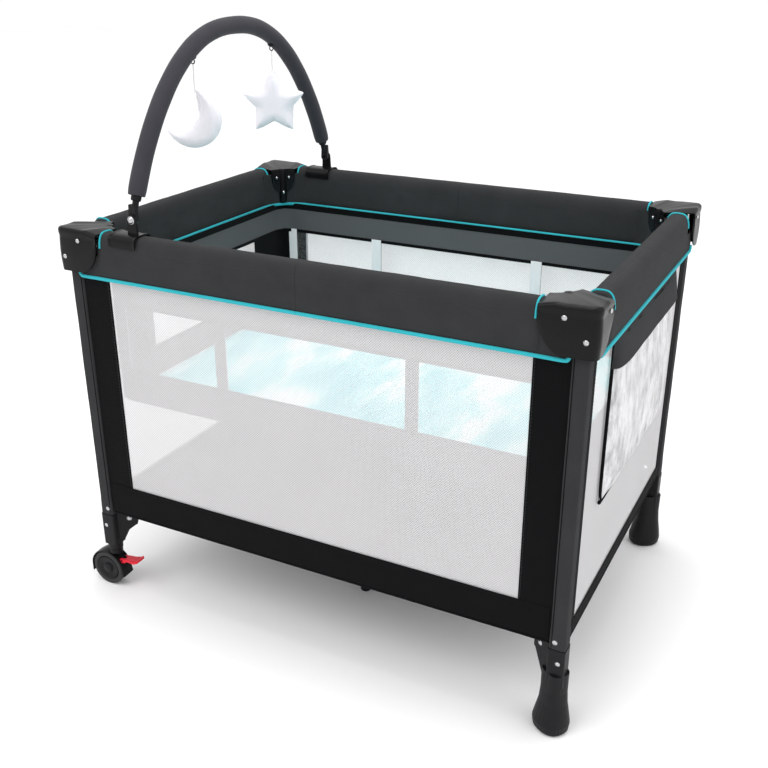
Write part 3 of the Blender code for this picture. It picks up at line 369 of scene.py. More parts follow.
MAT = {
    "cover": woven("cover_charcoal", (0.0330, 0.0335, 0.0350)),
    "strip": woven("strip_black", (0.0030, 0.0031, 0.0036), variation=0.2, crease=0.25),
    "dark_net": net("net_charcoal", (0.100, 0.100, 0.103), 0.0034, 0.86, 1.0),
    # The white net, the window net and the light grey tape glow white. This is painted light for light coming
    # through thin fabric, lifting them out of the shade inside the yard.
    "white_net": net("net_white", (0.58, 0.57, 0.58), 0.0046, 0.42, 0.80, painted_glow=0.21),
    "window_net": net("net_window", (0.74, 0.74, 0.75), 0.0048, 0.01, 0.08, painted_glow=0.20),
    "grey_strip": woven("strip_light_grey", (0.66, 0.65, 0.67), variation=0.10, painted_glow=0.16),
    "piping": woven("piping_teal", (0.030, 0.420, 0.480), 0.0014, 0.1, 0.22, 0.2),
    "floor_fabric": woven("floor_grey", (0.034, 0.034, 0.037), crease=0.7),
    "plastic": plastic("plastic_black", (0.0060, 0.0060, 0.0068)),
    "satin": plastic("plastic_satin", (0.0075, 0.0075, 0.0085), 0.36, 0.55, 0.14),
    "cap": plastic("plastic_cap", (0.0035, 0.0035, 0.0040), 0.24, 0.40, 0.05),
    "red": plastic("plastic_red", (0.62, 0.012, 0.030), 0.22, 0.38),
    "steel": metal("steel_satin", (0.66, 0.66, 0.67), brushed=(0.1, 1, 1)),
    "rivet": metal("rivet_bright", (0.52, 0.52, 0.53), 0.16, 0.30),
    "tyre": tyre(),
    "foam": foam_grey(),
    "plush": plush("plush_white", (0.84, 0.83, 0.88)),
    "string": woven("string_white", (0.78, 0.78, 0.80), 0.0006, variation=0.1),
    "print": streaky_print(),
    "pocket": pouch_sheer(),
}

# ---- mesh building


def turns(count):
    """Cosine and sine of even steps once round."""
    angles = [2 * math.pi * k / count for k in range(count)]
    return [(math.cos(t), math.sin(t)) for t in angles]


def bowed(value, power):
    """The value raised to a power, with its sign kept."""
    return math.copysign(abs(value) ** power, value)


def make(name, bm, mat, smooth=40):
    """A new object from a bmesh in world coordinates."""
    mesh = bpy.data.meshes.new(name)
    bm.to_mesh(mesh)
    bm.free()
    obj = bpy.data.objects.new(name, mesh)
    bpy.context.scene.collection.objects.link(obj)
    mesh.materials.append(MAT[mat])
    mesh.shade_smooth()
    if smooth:
        mesh.set_sharp_from_angle(angle=math.radians(smooth))
    return obj


def put(obj, body, slot="charcoal_fabric", *replaced):
    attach(obj, body)
    if replaced:
        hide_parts(*replaced)
    return obj


def baked(obj):
    """Apply the object's modifiers to its mesh."""
    bpy.context.view_layer.update()
    mesh = bpy.data.meshes.new_from_object(obj.evaluated_get(bpy.context.evaluated_depsgraph_get()))
    obj.modifiers.clear()
    obj.data = mesh
    return obj


def puffed(obj, held, pressure, furthest, slack):
    """Swell a closed piece as cloth under pressure, with the points that held() picks sewn in place."""
    scene = bpy.context.scene
    group = obj.vertex_groups.new(name="held")
    group.add([v.index for v in obj.data.vertices if held(v.co)], 1.0, "REPLACE")
    start = [v.co.copy() for v in obj.data.vertices]
    cloth = obj.modifiers.new("cloth", "CLOTH")
    settings = cloth.settings
    settings.quality = 5
    settings.mass = 0.2
    settings.tension_stiffness = settings.compression_stiffness = 12
    settings.bending_stiffness = 0.3
    settings.vertex_group_mass = "held"
    settings.shrink_min = -slack
    settings.use_pressure = True
    settings.uniform_pressure_force = pressure
    settings.effector_weights.gravity = 0
    cloth.point_cache.frame_start, cloth.point_cache.frame_end = 1, 20
    for step in range(1, 21):
        scene.frame_set(step)
    swollen = obj.evaluated_get(bpy.context.evaluated_depsgraph_get()).to_mesh()
    moved = [v.co.copy() for v in swollen.vertices]
    obj.to_mesh_clear()
    obj.modifiers.clear()
    obj.vertex_groups.clear()
    scene.frame_set(1)
    for v, before, after in zip(obj.data.vertices, start, moved):
        step = after - before
        v.co = before + step * min(1.0, furthest / max(step.length, 1e-9))
    rounder = obj.modifiers.new("rounder", "SUBSURF")
    rounder.levels = rounder.render_levels = 1
    baked(obj)


def grid_of(bm, nu, nv, surface):
    return [[bm.verts.new(surface(i / nu, j / nv)) for j in range(nv + 1)] for i in range(nu + 1)]


def cells(grid, nu, nv):
    for i in range(nu):
        for j in range(nv):
            yield grid[i][j], grid[i + 1][j], grid[i + 1][j + 1], grid[i][j + 1]


def closed_grid(name, nu, nv, front, back, mat, smooth=50):
    """A closed thin body between two surfaces of (u, v), joined round the rim."""
    bm = bmesh.new()
    one, two = grid_of(bm, nu, nv, front), grid_of(bm, nu, nv, back)
    for loop in cells(one, nu, nv):
        bm.faces.new(loop)
    for loop in cells(two, nu, nv):
        bm.faces.new(loop[::-1])
    rim = [(i, 0) for i in range(nu)] + [(nu, j) for j in range(nv)]
    rim += [(i, nv) for i in range(nu, 0, -1)] + [(0, j) for j in range(nv, 0, -1)]
    for (i, j), (k, m) in zip(rim, rim[1:] + rim[:1]):
        bm.faces.new((one[k][m], one[i][j], two[i][j], two[k][m]))
    bmesh.ops.recalc_face_normals(bm, faces=bm.faces)
    return make(name, bm, mat, smooth)


def shell(name, nu, nv, surface, first, second, mat):
    """A closed thin body between two layers of surface(u, v, depth)."""
    one, two = (lambda u, v: surface(u, v, first)), (lambda u, v: surface(u, v, second))
    return closed_grid(name, nu, nv, one, two, mat)


def open_grid(name, nu, nv, surface, mat):
    """A single sheet through surface(u, v)."""
    bm = bmesh.new()
    for loop in cells(grid_of(bm, nu, nv, surface), nu, nv):
        bm.faces.new(loop)
    return make(name, bm, mat, 0)


def rings_body(name, rings, mat, smooth=50, wrap=False):
    """A body through rings of points, capped at both ends or wrapped round."""
    bm = bmesh.new()
    rows = [[bm.verts.new(p) for p in ring] for ring in rings]
    for low, high in zip(rows, rows[1:] + rows[:1] if wrap else rows[1:]):
        for i in range(len(low)):
            j = (i + 1) % len(low)
            bm.faces.new((low[i], low[j], high[j], high[i]))
    if not wrap:
        bm.faces.new(rows[0][::-1])
        bm.faces.new(rows[-1])
    bmesh.ops.recalc_face_normals(bm, faces=bm.faces)
    return make(name, bm, mat, smooth)


def frames_along(points, closed=False):
    """Two crossways directions at each point of a path, which turn as little as they can."""
    count = len(points)
    tangents = []
    for i in range(count):
        before = points[i - 1] if i or closed else points[0]
        after = points[(i + 1) % count] if i < count - 1 or closed else points[-1]
        tangents.append((after - before).normalized())
    first = Vector((0, 0, 1)) if abs(tangents[0].z) < 0.9 else Vector((1, 0, 0))
    side = (first - tangents[0] * first.dot(tangents[0])).normalized()
    made = []
    for tangent in tangents:
        side = (side - tangent * side.dot(tangent)).normalized()
        made.append((side, tangent.cross(side)))
    return made


def tube(name, points, radius, mat, sides=10, closed=False):
    """A round tube along points; radius is a number or a function of the share along it."""
    points = [Vector(p) for p in points]
    rings = []
    for i, (p, (a, b)) in enumerate(zip(points, frames_along(points, closed))):
        r = radius(i / (len(points) - 1)) if callable(radius) else radius
        rings.append([p + (a * c + b * s) * r for c, s in turns(sides)])
    return rings_body(name, rings, mat, 60, closed)


def turned(name, profile, place, mat, sides=24, smooth=40):
    """A body turned about its local Z from (radius, z) points, then placed by a matrix."""
    rings = [[place @ Vector((r * c, r * s, z)) for c, s in turns(sides)]
             for r, z in ((max(r, 0.00005), z) for r, z in profile)]
    return rings_body(name, rings, mat, smooth)


def facing(position, direction):
    """A matrix that puts local Z along direction at position."""
    turn = Vector((0, 0, 1)).rotation_difference(Vector(direction)).to_matrix().to_4x4()
    return Matrix.Translation(Vector(position)) @ turn


def rivet(name, position, direction, body, radius=0.0036, tall=0.0019):
    """Domed rivet with a flat flange, standing on a surface."""
    profile = [(0, -0.001), (radius * 1.18, -0.001), (radius * 1.18, 0.0004), (radius, 0.0006)]
    for i in range(1, 7):
        t = math.pi / 2 * i / 6
        profile.append((radius * 0.96 * math.cos(t), 0.0006 + tall * math.sin(t)))
    put(turned(name, profile, facing(position, direction), "rivet", 24, 70), body, "steel")


def smooth_path(points, per=6):
    """Points on a smooth curve through the points given."""
    pts = [Vector(p) for p in points]
    made = []
    for i in range(len(pts) - 1):
        p0, p1, p2, p3 = pts[max(i - 1, 0)], pts[i], pts[i + 1], pts[min(i + 2, len(pts) - 1)]
        for k in range(per):
            t = k / per
            b = (p2 - p0) * t
            c = (2 * p0 - 5 * p1 + 4 * p2 - p3) * t * t
            d = (3 * p1 - p0 - 3 * p2 + p3) * t * t * t
            made.append((2 * p1 + b + c + d) / 2)
    return made + [pts[-1]]


def crown(u, power=6):
    """1 in the middle, falling to 0 at both ends of 0..1."""
    return max(0.0, 1 - abs(2 * u - 1) ** power) ** 0.5


def ripple(p, size, seed=0.0):
    """Smooth unevenness of cloth, between -1 and 1, that repeats each run."""
    return noise.noise(Vector(p) / size + Vector((seed, seed * 0.7, -seed)))


def fold_with(obj):
    """The piece gets its own copy of its mesh."""
    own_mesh(obj)


def follow_rail(obj):
    """The piece's placement is baked into its mesh."""
    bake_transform(obj)


# ---- covers on the rails


def sleeve_ring(side, s, grow=0.0):
    """Cross-section of a padded sleeve: round over the top, flatter at the sides."""
    middle_z = (SLEEVE_LOW + SLEEVE_TOP) / 2
    tall = (SLEEVE_TOP - SLEEVE_LOW) / 2 + grow
    ring = []
    for c, z in turns(32):
        w = bowed(c, 0.62 if z > 0 else 0.22) * (SLEEVE_HALF + grow)
        p = at(side, s, w, middle_z + bowed(z, 0.62 if z > 0 else 0.30) * tall)
        uneven = 0.0005 * ripple(p, 0.055, 3.0) + 0.00025 * ripple(p, 0.018, 5.0)
        ring.append(p + (p - at(side, s, 0, middle_z)).normalized() * uneven)
    return ring


def rail_covers(side):
    """Two padded sleeves that meet over the lock, each with its teal end ring."""
    tip = SIDES[side][3] - CAP_REACH
    steps = 40
    for label, sign in HALVES:
        outer, inner = sign * (tip + 0.0060), sign * 0.0002
        rings = [sleeve_ring(side, outer, -0.0035)]
        for i in range(steps + 1):
            s = outer + sign * -0.0015 + (inner - outer + sign * 0.0015) * (i / steps)
            rings.append(sleeve_ring(side, s, -0.0012 if i == 0 else 0.0))
        obj = rings_body(f"rail_cover_{side}_{label}", rings, "cover", 60)
        follow_rail(obj)
        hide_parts(f"rail_pad_{side}_{label}")
        ring = sleeve_ring(side, sign * (tip - 0.0034), 0.0004)
        upper = [p for p in ring[1:] + ring[:1] if p.z > RING_LOW]
        upper.sort(key=lambda p: math.atan2(p.z - RING_LOW, (p - at(side, 0, 0, 0)).dot(SIDES[side][1])))
        binding = tube(f"cover_ring_{side}_{label}", smooth_path(upper, 3), 0.0019, "piping", 8)
        put(binding, f"rail_{side}_{label}")


def cover_edges(side):
    """Teal piping along the sleeves' lower edges, and the cover's outer skirt beside each post."""
    half, near, far = SIDES[side][3:6]
    s0, s1 = half - CAP_REACH - 0.007, half - SLEEVE_POST - 0.0005
    high = CAP_LOW + 0.035
    for (label, sign), post in zip(HALVES, (near, far)):
        for face, w, outer in (("out", PIPING_OUT, half - CAP_REACH), ("in", -PIPING_OUT, half - CORNER_REACH)):
            path = [at(side, sign * (0.0004 + (outer - 0.0004) * i / 30), w, PIPING_Z) for i in range(31)]
            piping = tube(f"piping_{side}_{face}_{label}", path, PIPING_RADIUS, "piping")
            follow_rail(piping)

        def skirt(u, v, depth):
            w = SKIRT_OUT - 0.0012 - 0.0008 * (1 - v) - depth
            return at(side, sign * (s0 + (s1 - s0) * u), w, PIPING_Z + (high - PIPING_Z) * v)

        put(shell(f"cover_skirt_{side}_{label}", 8, 6, skirt, 0.0, CLOTH, "cover"), post)
        knots = [(s0 + 0.007, 0.0), (s0 + 0.02, 0.0), (s1 - 0.010, 0.0), (s1 - 0.003, 0.003), (s1, 0.012)]
        path = smooth_path([at(side, sign * s, PIPING_OUT, PIPING_Z + up) for s, up in knots], 5)
        put(tube(f"piping_{side}_post_{label}", path, PIPING_RADIUS, "piping"), post)


def inner_corner(tag):
    """Rounded cover inside a corner, with its piping."""
    (sx, sy), post = SIGNS[tag], POSTS[tag]
    top = CAP_TOP - 0.016

    def arc(w, z, share):
        radius, t = CORNER_REACH - w, math.pi / 2 * share
        x = post.x - sx * (CORNER_REACH - radius * math.cos(t))
        return Vector((x, post.y - sy * (CORNER_REACH - radius * math.sin(t)), z))

    def surface(u, v, depth):
        return arc(SKIRT_OUT + 0.0008 - 0.0016 * (1 - v) - depth, PIPING_Z + (top - PIPING_Z) * v, u)

    put(shell(f"corner_cover_{tag}", 16, 6, surface, 0.0, CLOTH, "cover"), f"post_{tag}")
    path = [arc(SKIRT_OUT - 0.0006, PIPING_Z, i / 16) for i in range(17)]
    put(tube(f"corner_piping_{tag}", path, PIPING_RADIUS, "piping"), f"post_{tag}")


# ---- walls and floor of the enclosure


def net_panel(side, edge, low):
    """White net between the black strips, from the lower band up under the cover."""
    high = PIPING_Z + 0.010

    def surface(u, v):
        s, z = -edge + 2 * edge * u, low + (high - low) * v
        bow = 0.0012 * ripple(at(side, s, 0, z), 0.16, 2.0) * crown(u, 4) * crown(v, 4)
        return at(side, s, PANEL_OUT + bow, z)

    obj = open_grid(f"net_{side}", 44, 24, surface, "white_net")
    put(obj, SIDES[side][4], "light_mesh")
    fold_with(obj)


def band(name, side, s0, s1, z0, z1, w, body, rows, columns, seed):
    """A flat sewn strip with soft edges."""

    def face(u, v, sign):
        s, z = s0 + (s1 - s0) * u, z0 + (z1 - z0) * v
        rim = min(crown(u, 24), crown(v, 24))
        swell = sign * STRIP_THICK / 2 * (0.35 + 0.65 * rim)
        return at(side, s, w + swell + 0.0004 * ripple(at(side, s, 0, z), 0.07, seed), z)

    return put(shell(name, columns, rows, face, 1, -1, "strip"), body)


def stitch_line(name, side, s, z0, z1, body):
    """A row of raised stitches down a strip's edge."""
    bm = bmesh.new()
    pitch = 0.0062
    for i in range(int((z1 - z0) / pitch)):
        z = z0 + pitch * (i + 0.2)
        low = at(side, s - 0.0005, PANEL_OUT + 0.0016, z)
        high = at(side, s + 0.0005, PANEL_OUT + 0.0024, z + pitch * 0.6)
        made = bmesh.ops.create_cube(bm, size=1)["verts"]
        size = Vector([max(abs(b - a), 0.0004) for a, b in zip(low, high)])
        bmesh.ops.scale(bm, vec=size, verts=made)
        bmesh.ops.translate(bm, vec=(low + high) / 2, verts=made)
    put(make(name, bm, "cover", 30), body)


def walls(side):
    half, near, far = SIDES[side][3:6]
    edge = half - (STRIP_EDGE if long_side(side) else END_STRIP_EDGE)
    top = BAND_TOP if long_side(side) else END_BAND_TOP
    net_panel(side, edge + 0.004, top - 0.004)
    for (label, sign), body in zip(ENDS, (near, far)):
        s0, s1 = sorted((sign * edge, sign * (half - 0.0100)))
        place = s0, s1, FLOOR_Z, PIPING_Z + 0.006, PANEL_OUT + 0.0008
        band(f"strip_{side}_{label}", side, *place, body, 30, 6, 4.0)
        place = sign * (edge + 0.0035), top + 0.004, PIPING_Z - 0.004
        stitch_line(f"stitch_{side}_{label}", side, *place, body)
    reach = half - 0.018
    place = -reach, reach, FLOOR_Z - 0.001, top, BAND_OUT
    low_band = band(f"lower_band_{side}", side, *place, near, 6, 60, 6.0)
    hem = [at(side, -half + 0.020 + (2 * half - 0.040) * i / 30, BAND_OUT, FLOOR_Z) for i in range(31)]
    for obj in (low_band, put(tube(f"lower_hem_{side}", hem, 0.0022, "strip", 8), near)):
        fold_with(obj)


def post_sleeve(tag):
    """Fabric sleeve on a post, with a seam down its inner corner and a snap at the bottom."""
    (sx, sy), post = SIGNS[tag], POSTS[tag]
    low, high = FLOOR_Z - 0.010, CAP_LOW + 0.006
    steps = 26
    rings = []
    for j in range(steps + 1):
        size = SLEEVE_POST + (0.0007 if j <= 1 else 0.0)
        z = low + (high - low) * j / steps
        ring = []
        for c, s in turns(32):
            p = Vector((post.x + bowed(c, 0.30) * size, post.y + bowed(s, 0.30) * size, z))
            ring.append(p + Vector((c, s, 0)) * 0.0005 * ripple(p, 0.05, 8.0))
        rings.append(ring)
    put(rings_body(f"post_sleeve_{tag}", rings, "cover", 60), f"post_{tag}")
    x, y = post.x - sx * (SLEEVE_POST - 0.0045), post.y + sy * (SLEEVE_POST + 0.0002)
    seam = [(x, y, low + (high - low) * i / 20) for i in range(21)]
    put(tube(f"post_seam_{tag}", seam, 0.0008, "strip", 6), f"post_{tag}")
    spot = (post.x - sx * 0.004, post.y + sy * (SLEEVE_POST + 0.0004), FLOOR_Z + 0.004)
    rivet(f"sleeve_snap_{tag}", spot, (0, sy, 0), f"post_{tag}", 0.0038, 0.0012)


def floor_quarter(tag):
    """A quarter of the fabric floor, on its base tube."""
    sx, sy = SIGNS[tag]
    reach_x, reach_y = HALF_X + PANEL_OUT - 0.002, HALF_Y + PANEL_OUT - 0.002
    corner = 0.024

    def surface(u, v, depth):
        x, y = reach_x * u, reach_y * v
        if x > HALF_X - corner and y > HALF_Y - corner:
            x, y = min(x, HALF_X - corner + 0.010), min(y, HALF_Y - corner + 0.010)
        uneven = 0.0012 * ripple((x * sx, y * sy, 0), 0.12, 7.0) * crown(u, 6) * crown(v, 6)
        return Vector((XM + sx * x, sy * y, FLOOR_Z + 0.0035 - depth + uneven))

    body = f"base_tube_{tag}"
    obj = put(shell(f"floor_{tag}", 26, 20, surface, 0, 0.002, "floor_fabric"), body)
    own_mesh(obj)
    return obj


# ---- bassinet

TUB_HALF_X, TUB_HALF_Y = (TUB_HIGH.x - TUB_LOW.x) / 2, (TUB_HIGH.y - TUB_LOW.y) / 2
TUB_CORNER = 0.030
END_WINDOW = 0.190  # half width of the clear window in each end of the tub


def tub_out(side):
    """How far the tub's side lies out from the line of the posts (it is negative)."""
    return (TUB_HALF_Y - HALF_Y) if long_side(side) else (TUB_HALF_X - HALF_X)


def tub_point(share, inset):
    """A point on the tub's rounded plan, by share of the way round from the middle of the +X end."""
    r = TUB_CORNER - inset
    hx, hy = TUB_HALF_X - inset - r, TUB_HALF_Y - inset - r
    arc = math.pi / 2 * r
    runs = [hy, arc, 2 * hx, arc, 2 * hy, arc, 2 * hx, arc, hy]
    goal = share % 1.0 * sum(runs)
    place = Vector((hx + r, 0))
    direction = 0.0
    for i, run in enumerate(runs):
        step = min(goal, run)
        if i % 2:
            t = step / r
            middle = place + Vector((-math.cos(direction), -math.sin(direction))) * r
            place = middle + Vector((math.cos(direction + t), math.sin(direction + t))) * r
            direction += math.pi / 2 if step >= run else t
        else:
            place = place + Vector((-math.sin(direction), math.cos(direction))) * step
        goal -= step
        if goal <= 0:
            break
    return place.x + XM, place.y


def tub_loop(name, z0, z1, thick, mat, out=0.0, rows=3):
    """A closed band round the tub."""
    levels = [z0 + (z1 - z0) * j / rows for j in range(rows + 1)]
    rings = []
    for z, depth in [(z, 0.0) for z in levels] + [(z, thick) for z in levels[::-1]]:
        ring = []
        for k in range(128):
            x, y = tub_point(k / 128, depth - out)
            uneven = 0.0008 * ripple((x, y, z), 0.09, 11.0)
            ring.append(Vector((x + uneven * (1 if x > XM else -1), y + uneven * (1 if y > 0 else -1), z)))
        rings.append(ring)
    return put(rings_body(name, rings, mat, 50, True), "bassinet")


def tub_window(name, side, reach):
    """A single sheet of clear net in the tub's side, just inside the tub's outer face."""

    def surface(u, v):
        z = WINDOW_LOW + (WINDOW_TOP - WINDOW_LOW) * v
        p = at(side, -reach + 2 * reach * u, tub_out(side) - 0.0015, z)
        return p + SIDES[side][1] * 0.0012 * ripple(p, 0.12, 12.0) * crown(u, 4) * crown(v, 4)

    obj = put(open_grid(name, 30, 8, surface, "window_net"), "bassinet", "light_mesh")


def tub_strip(name, side, s, width, mat, depth=0.0):
    z0, z1 = WINDOW_LOW - 0.004, WINDOW_TOP + 0.004

    def surface(u, v, layer):
        return at(side, s - width / 2 + width * u, tub_out(side) - layer - depth, z0 + (z1 - z0) * v)

    put(shell(name, 4, 12, surface, 0.0006, 0.0024, mat), "bassinet")


def bassinet():
    top = tub_loop("bassinet_top_band", WINDOW_TOP, TUB_HIGH.z, 0.0016, "dark_net")
    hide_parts("bassinet_tub")
    tub_loop("bassinet_low_band", TUB_LOW.z + 0.001, WINDOW_LOW, 0.0018, "floor_fabric")
    tub_loop("bassinet_hem", TUB_HIGH.z - 0.012, TUB_HIGH.z + 0.001, 0.0030, "strip", 0.0006, 2)
    tub_loop("bassinet_window_hem_top", WINDOW_TOP - 0.003, WINDOW_TOP + 0.004, 0.0030, "strip", 0.0005, 1)
    tub_loop("bassinet_window_hem_low", WINDOW_LOW - 0.004, WINDOW_LOW + 0.002, 0.0030, "strip", 0.0005, 1)
    reach_x, reach_y = TUB_HALF_X - TUB_CORNER, TUB_HALF_Y - TUB_CORNER
    # label, place along the side and width of the strips between the windows
    strips = (("start", -0.4315, 0.026), ("second", -0.200, 0.024), ("third", 0.192, 0.024),
              ("end", 0.4400, 0.020))
    for side in ("front", "back"):
        tub_window(f"bassinet_window_{side}", side, reach_x)
        for label, s, width in strips:
            tub_strip(f"bassinet_strip_{side}_{label}", side, s, width, "floor_fabric")
            tub_strip(f"bassinet_tape_{side}_{label}", side, s, width, "grey_strip", 0.0020)
    for side in ("left", "right"):
        tub_window(f"bassinet_end_{side}", side, END_WINDOW)
        for label, sign in ENDS:
            middle, width = sign * (reach_y + END_WINDOW) / 2, reach_y - END_WINDOW + 0.002
            tub_strip(f"bassinet_panel_{side}_{label}", side, middle, width, "strip")
    for tag, (sx, sy) in SIGNS.items():

        def corner(u, v, r):
            t = math.pi / 2 * u
            z = WINDOW_LOW - 0.002 + (WINDOW_TOP - WINDOW_LOW + 0.004) * v
            return Vector((XM + sx * reach_x + sx * r * math.cos(t), sy * reach_y + sy * r * math.sin(t), z))

        layers = TUB_CORNER - 0.0006, TUB_CORNER - 0.0026
        put(shell(f"bassinet_corner_{tag}", 8, 8, corner, *layers, "strip"), "bassinet")

    def under(u, v, z):
        x, y = (2 * u - 1), (2 * v - 1)
        lip = 0.018
        cut_x = TUB_HALF_X - 0.0025 - lip * abs(y) ** 16
        return Vector((XM + x * cut_x, y * (TUB_HALF_Y - 0.0025 - lip * abs(x) ** 16), z))

    layers = TUB_LOW.z + 0.0030, TUB_LOW.z + 0.0005
    put(shell("bassinet_base", 30, 22, under, *layers, "floor_fabric"), "bassinet")


def hooks():
    """Moulded toggles under the inner piping that hold the bassinet up."""
    for side in SIDES:
        half = SIDES[side][3]
        count = 5 if long_side(side) else 3
        for i in range(count):
            s = -half + 0.16 + (2 * half - 0.32) * i / (count - 1)
            path = []
            for k in range(11):
                d = -0.018 + 0.036 * k / 10
                z = TUB_HIGH.z - 0.0085 + 0.0006 * math.cos(d * 200)
                path.append(at(side, s + d, tub_out(side) + 0.0052, z))
            obj = tube(f"hook_{side}_{i}", path, lambda t: 0.0030 * (0.55 + 0.45 * crown(t, 4)), "satin")
            put(obj, "bassinet", "black_plastic")


def mattress():
    """Padded mattress in four folding panels, with a printed cover and a sewn edge."""
    low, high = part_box("mattress")
    half_x, half_y = (high.x - low.x) / 2 - 0.001, (high.y - low.y) / 2 - 0.001
    middle_x = (low.x + high.x) / 2
    panels = 4
    round_off = 0.012

    def outline(u, v):
        x, y = 2 * u - 1, 2 * v - 1
        return middle_x + x * (half_x - round_off * abs(y) ** 14), y * (half_y - round_off * abs(x) ** 14)

    def top(u, v):
        x, y = outline(u, v)
        edge = min(crown(u, 20), crown(v, 20))
        within = (u * panels) % 1.0
        dip = math.exp(-((min(within, 1 - within) / 0.035) ** 2)) if 0.02 < u < 0.98 else 0.0
        puff = 0.0045 * (1 - dip)
        z = low.z + 0.0125 + edge * (0.0095 + puff - 0.0050) + 0.0010 * ripple((x, y, 0), 0.09, 15.0) * edge
        return Vector((x, y, min(z, high.z + 0.004)))

    def bottom(u, v):
        return Vector((*outline(u, v), low.z + 0.0115 - min(crown(u, 20), crown(v, 20)) * 0.0113))

    def sewn(co):
        within = ((co.x - middle_x) / (2 * half_x) + 0.5) * panels
        return co.z < low.z + 0.0135 or abs(within - round(within)) < 0.020

    obj = closed_grid("mattress_cover", 112, 76, top, bottom, "print", 80)
    puffed(obj, sewn, 2.5, 0.0045, 0.03)
    put(obj, "bassinet", "print_fabric", "mattress")
    rim = [outline(i / 48, 0) for i in range(48)] + [outline(1, i / 32) for i in range(32)]
    rim += [outline(1 - i / 48, 1) for i in range(48)] + [outline(0, 1 - i / 32) for i in range(32)]
    edge = tube("mattress_edge", [(x, y, low.z + 0.012) for x, y in rim], 0.0017, "grey_strip", 8, True)
    put(edge, "bassinet", "print_fabric")


# ---- pouch


def pouch():
    """Sheer organiser pocket on the +X end: a full lower bag, a dark flap and a black bound edge."""
    low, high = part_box("pouch")
    half = (high.y - low.y) / 2
    inner = low.x + 0.0006
    depth = high.x - low.x

    def belly(u, v):
        """How far the bag's front stands out, fuller low down."""
        low_full = math.sin(math.pi * min(1.0, (1 - v) * 0.66 + 0.06))
        return (0.20 + 0.80 * low_full) * crown(u, 5) * min(1.0, v / 0.10) ** 0.6

    def back(u, v):
        return Vector((inner, -half + 2 * half * u, low.z + (high.z - low.z) * v))

    def front(u, v):
        y, z = -half + 2 * half * u, low.z + (high.z - low.z) * v
        fold = 0.0016 * ripple((0, y * 2.6, z * 0.7), 0.05, 21.0)
        fold += 0.0012 * ripple((0, y * 4, z * 0.6), 0.05, 5.0)
        return Vector((inner + 0.0022 + (depth - 0.004) * belly(u, v) + fold * crown(u, 6), y, z))

    def flap(u, v, out):
        y = -half - 0.004 + (2 * half + 0.008) * u
        bottom = high.z - 0.050 + 0.004 * math.sin(3 * u + 0.4)
        z = bottom + (PIPING_Z + 0.004 - bottom) * v
        x = inner + 0.0030 + (depth * 0.80) * (1 - v) ** 0.7 * crown(u, 8) + out
        return Vector((x + 0.0010 * ripple((0, y, z), 0.05, 2.0), y, z))

    bag = put(open_grid("pouch_front", 72, 48, front, "pocket"), "post_fr", "light_mesh", "pouch")
    behind = Vector((0.0008, 0, 0))
    rear = closed_grid("pouch_back", 20, 16, back, lambda u, v: back(u, v) + behind, "white_net")
    put(rear, "post_fr", "light_mesh")
    lip = [front(i / 36, 1.0) + Vector((0.0006, 0, -0.002)) for i in range(37)]
    hem = put(tube("pouch_lip", lip, 0.0022, "strip", 8), "post_fr")
    knots = ((-half, high.z + 0.004), (-half, high.z - 0.10), (-half, low.z + 0.06),
             (-half + 0.004, low.z + 0.010), (-half + 0.020, low.z + 0.001), (0, low.z + 0.001))
    edge = [Vector((inner + 0.0030, y, z)) for y, z in knots]
    edge += [Vector((p.x, -p.y, p.z)) for p in reversed(edge[:-1])]
    binding = put(tube("pouch_binding", smooth_path(edge, 8), 0.0030, "strip"), "post_fr")
    cover = put(shell("pouch_flap", 50, 10, flap, 0.0011, 0, "cover"), "post_fr")
    for piece in (bag, rear, hem, binding, cover):
        fold_with(piece)


# ---- corner caps, feet and casters


def cap_outline(u):
    """Distances of a cap's outer face from the post's axis, from the long wing's tip to the short one's."""
    flat = CAP_OUT - CAP_BEND
    straight = CAP_REACH - flat
    arc = CAP_BEND * math.pi / 2
    goal = u * (2 * straight + arc)
    if goal <= straight:
        return CAP_REACH - goal, -CAP_OUT
    if goal <= straight + arc:
        t = (goal - straight) / CAP_BEND
        return -flat - CAP_BEND * math.sin(t), -flat - CAP_BEND * math.cos(t)
    return -CAP_OUT, goal - straight - arc - flat


def cap_inner(u):
    """Distances of a cap's inner edge from the post's axis: an arc just inside the corner cover."""
    radius = CORNER_REACH - SKIRT_OUT - 0.0030
    start = math.asin((CORNER_REACH - CAP_REACH) / radius)
    t = start + (math.pi / 2 - 2 * start) * u
    return CORNER_REACH - radius * math.sin(t), CORNER_REACH - radius * math.cos(t)


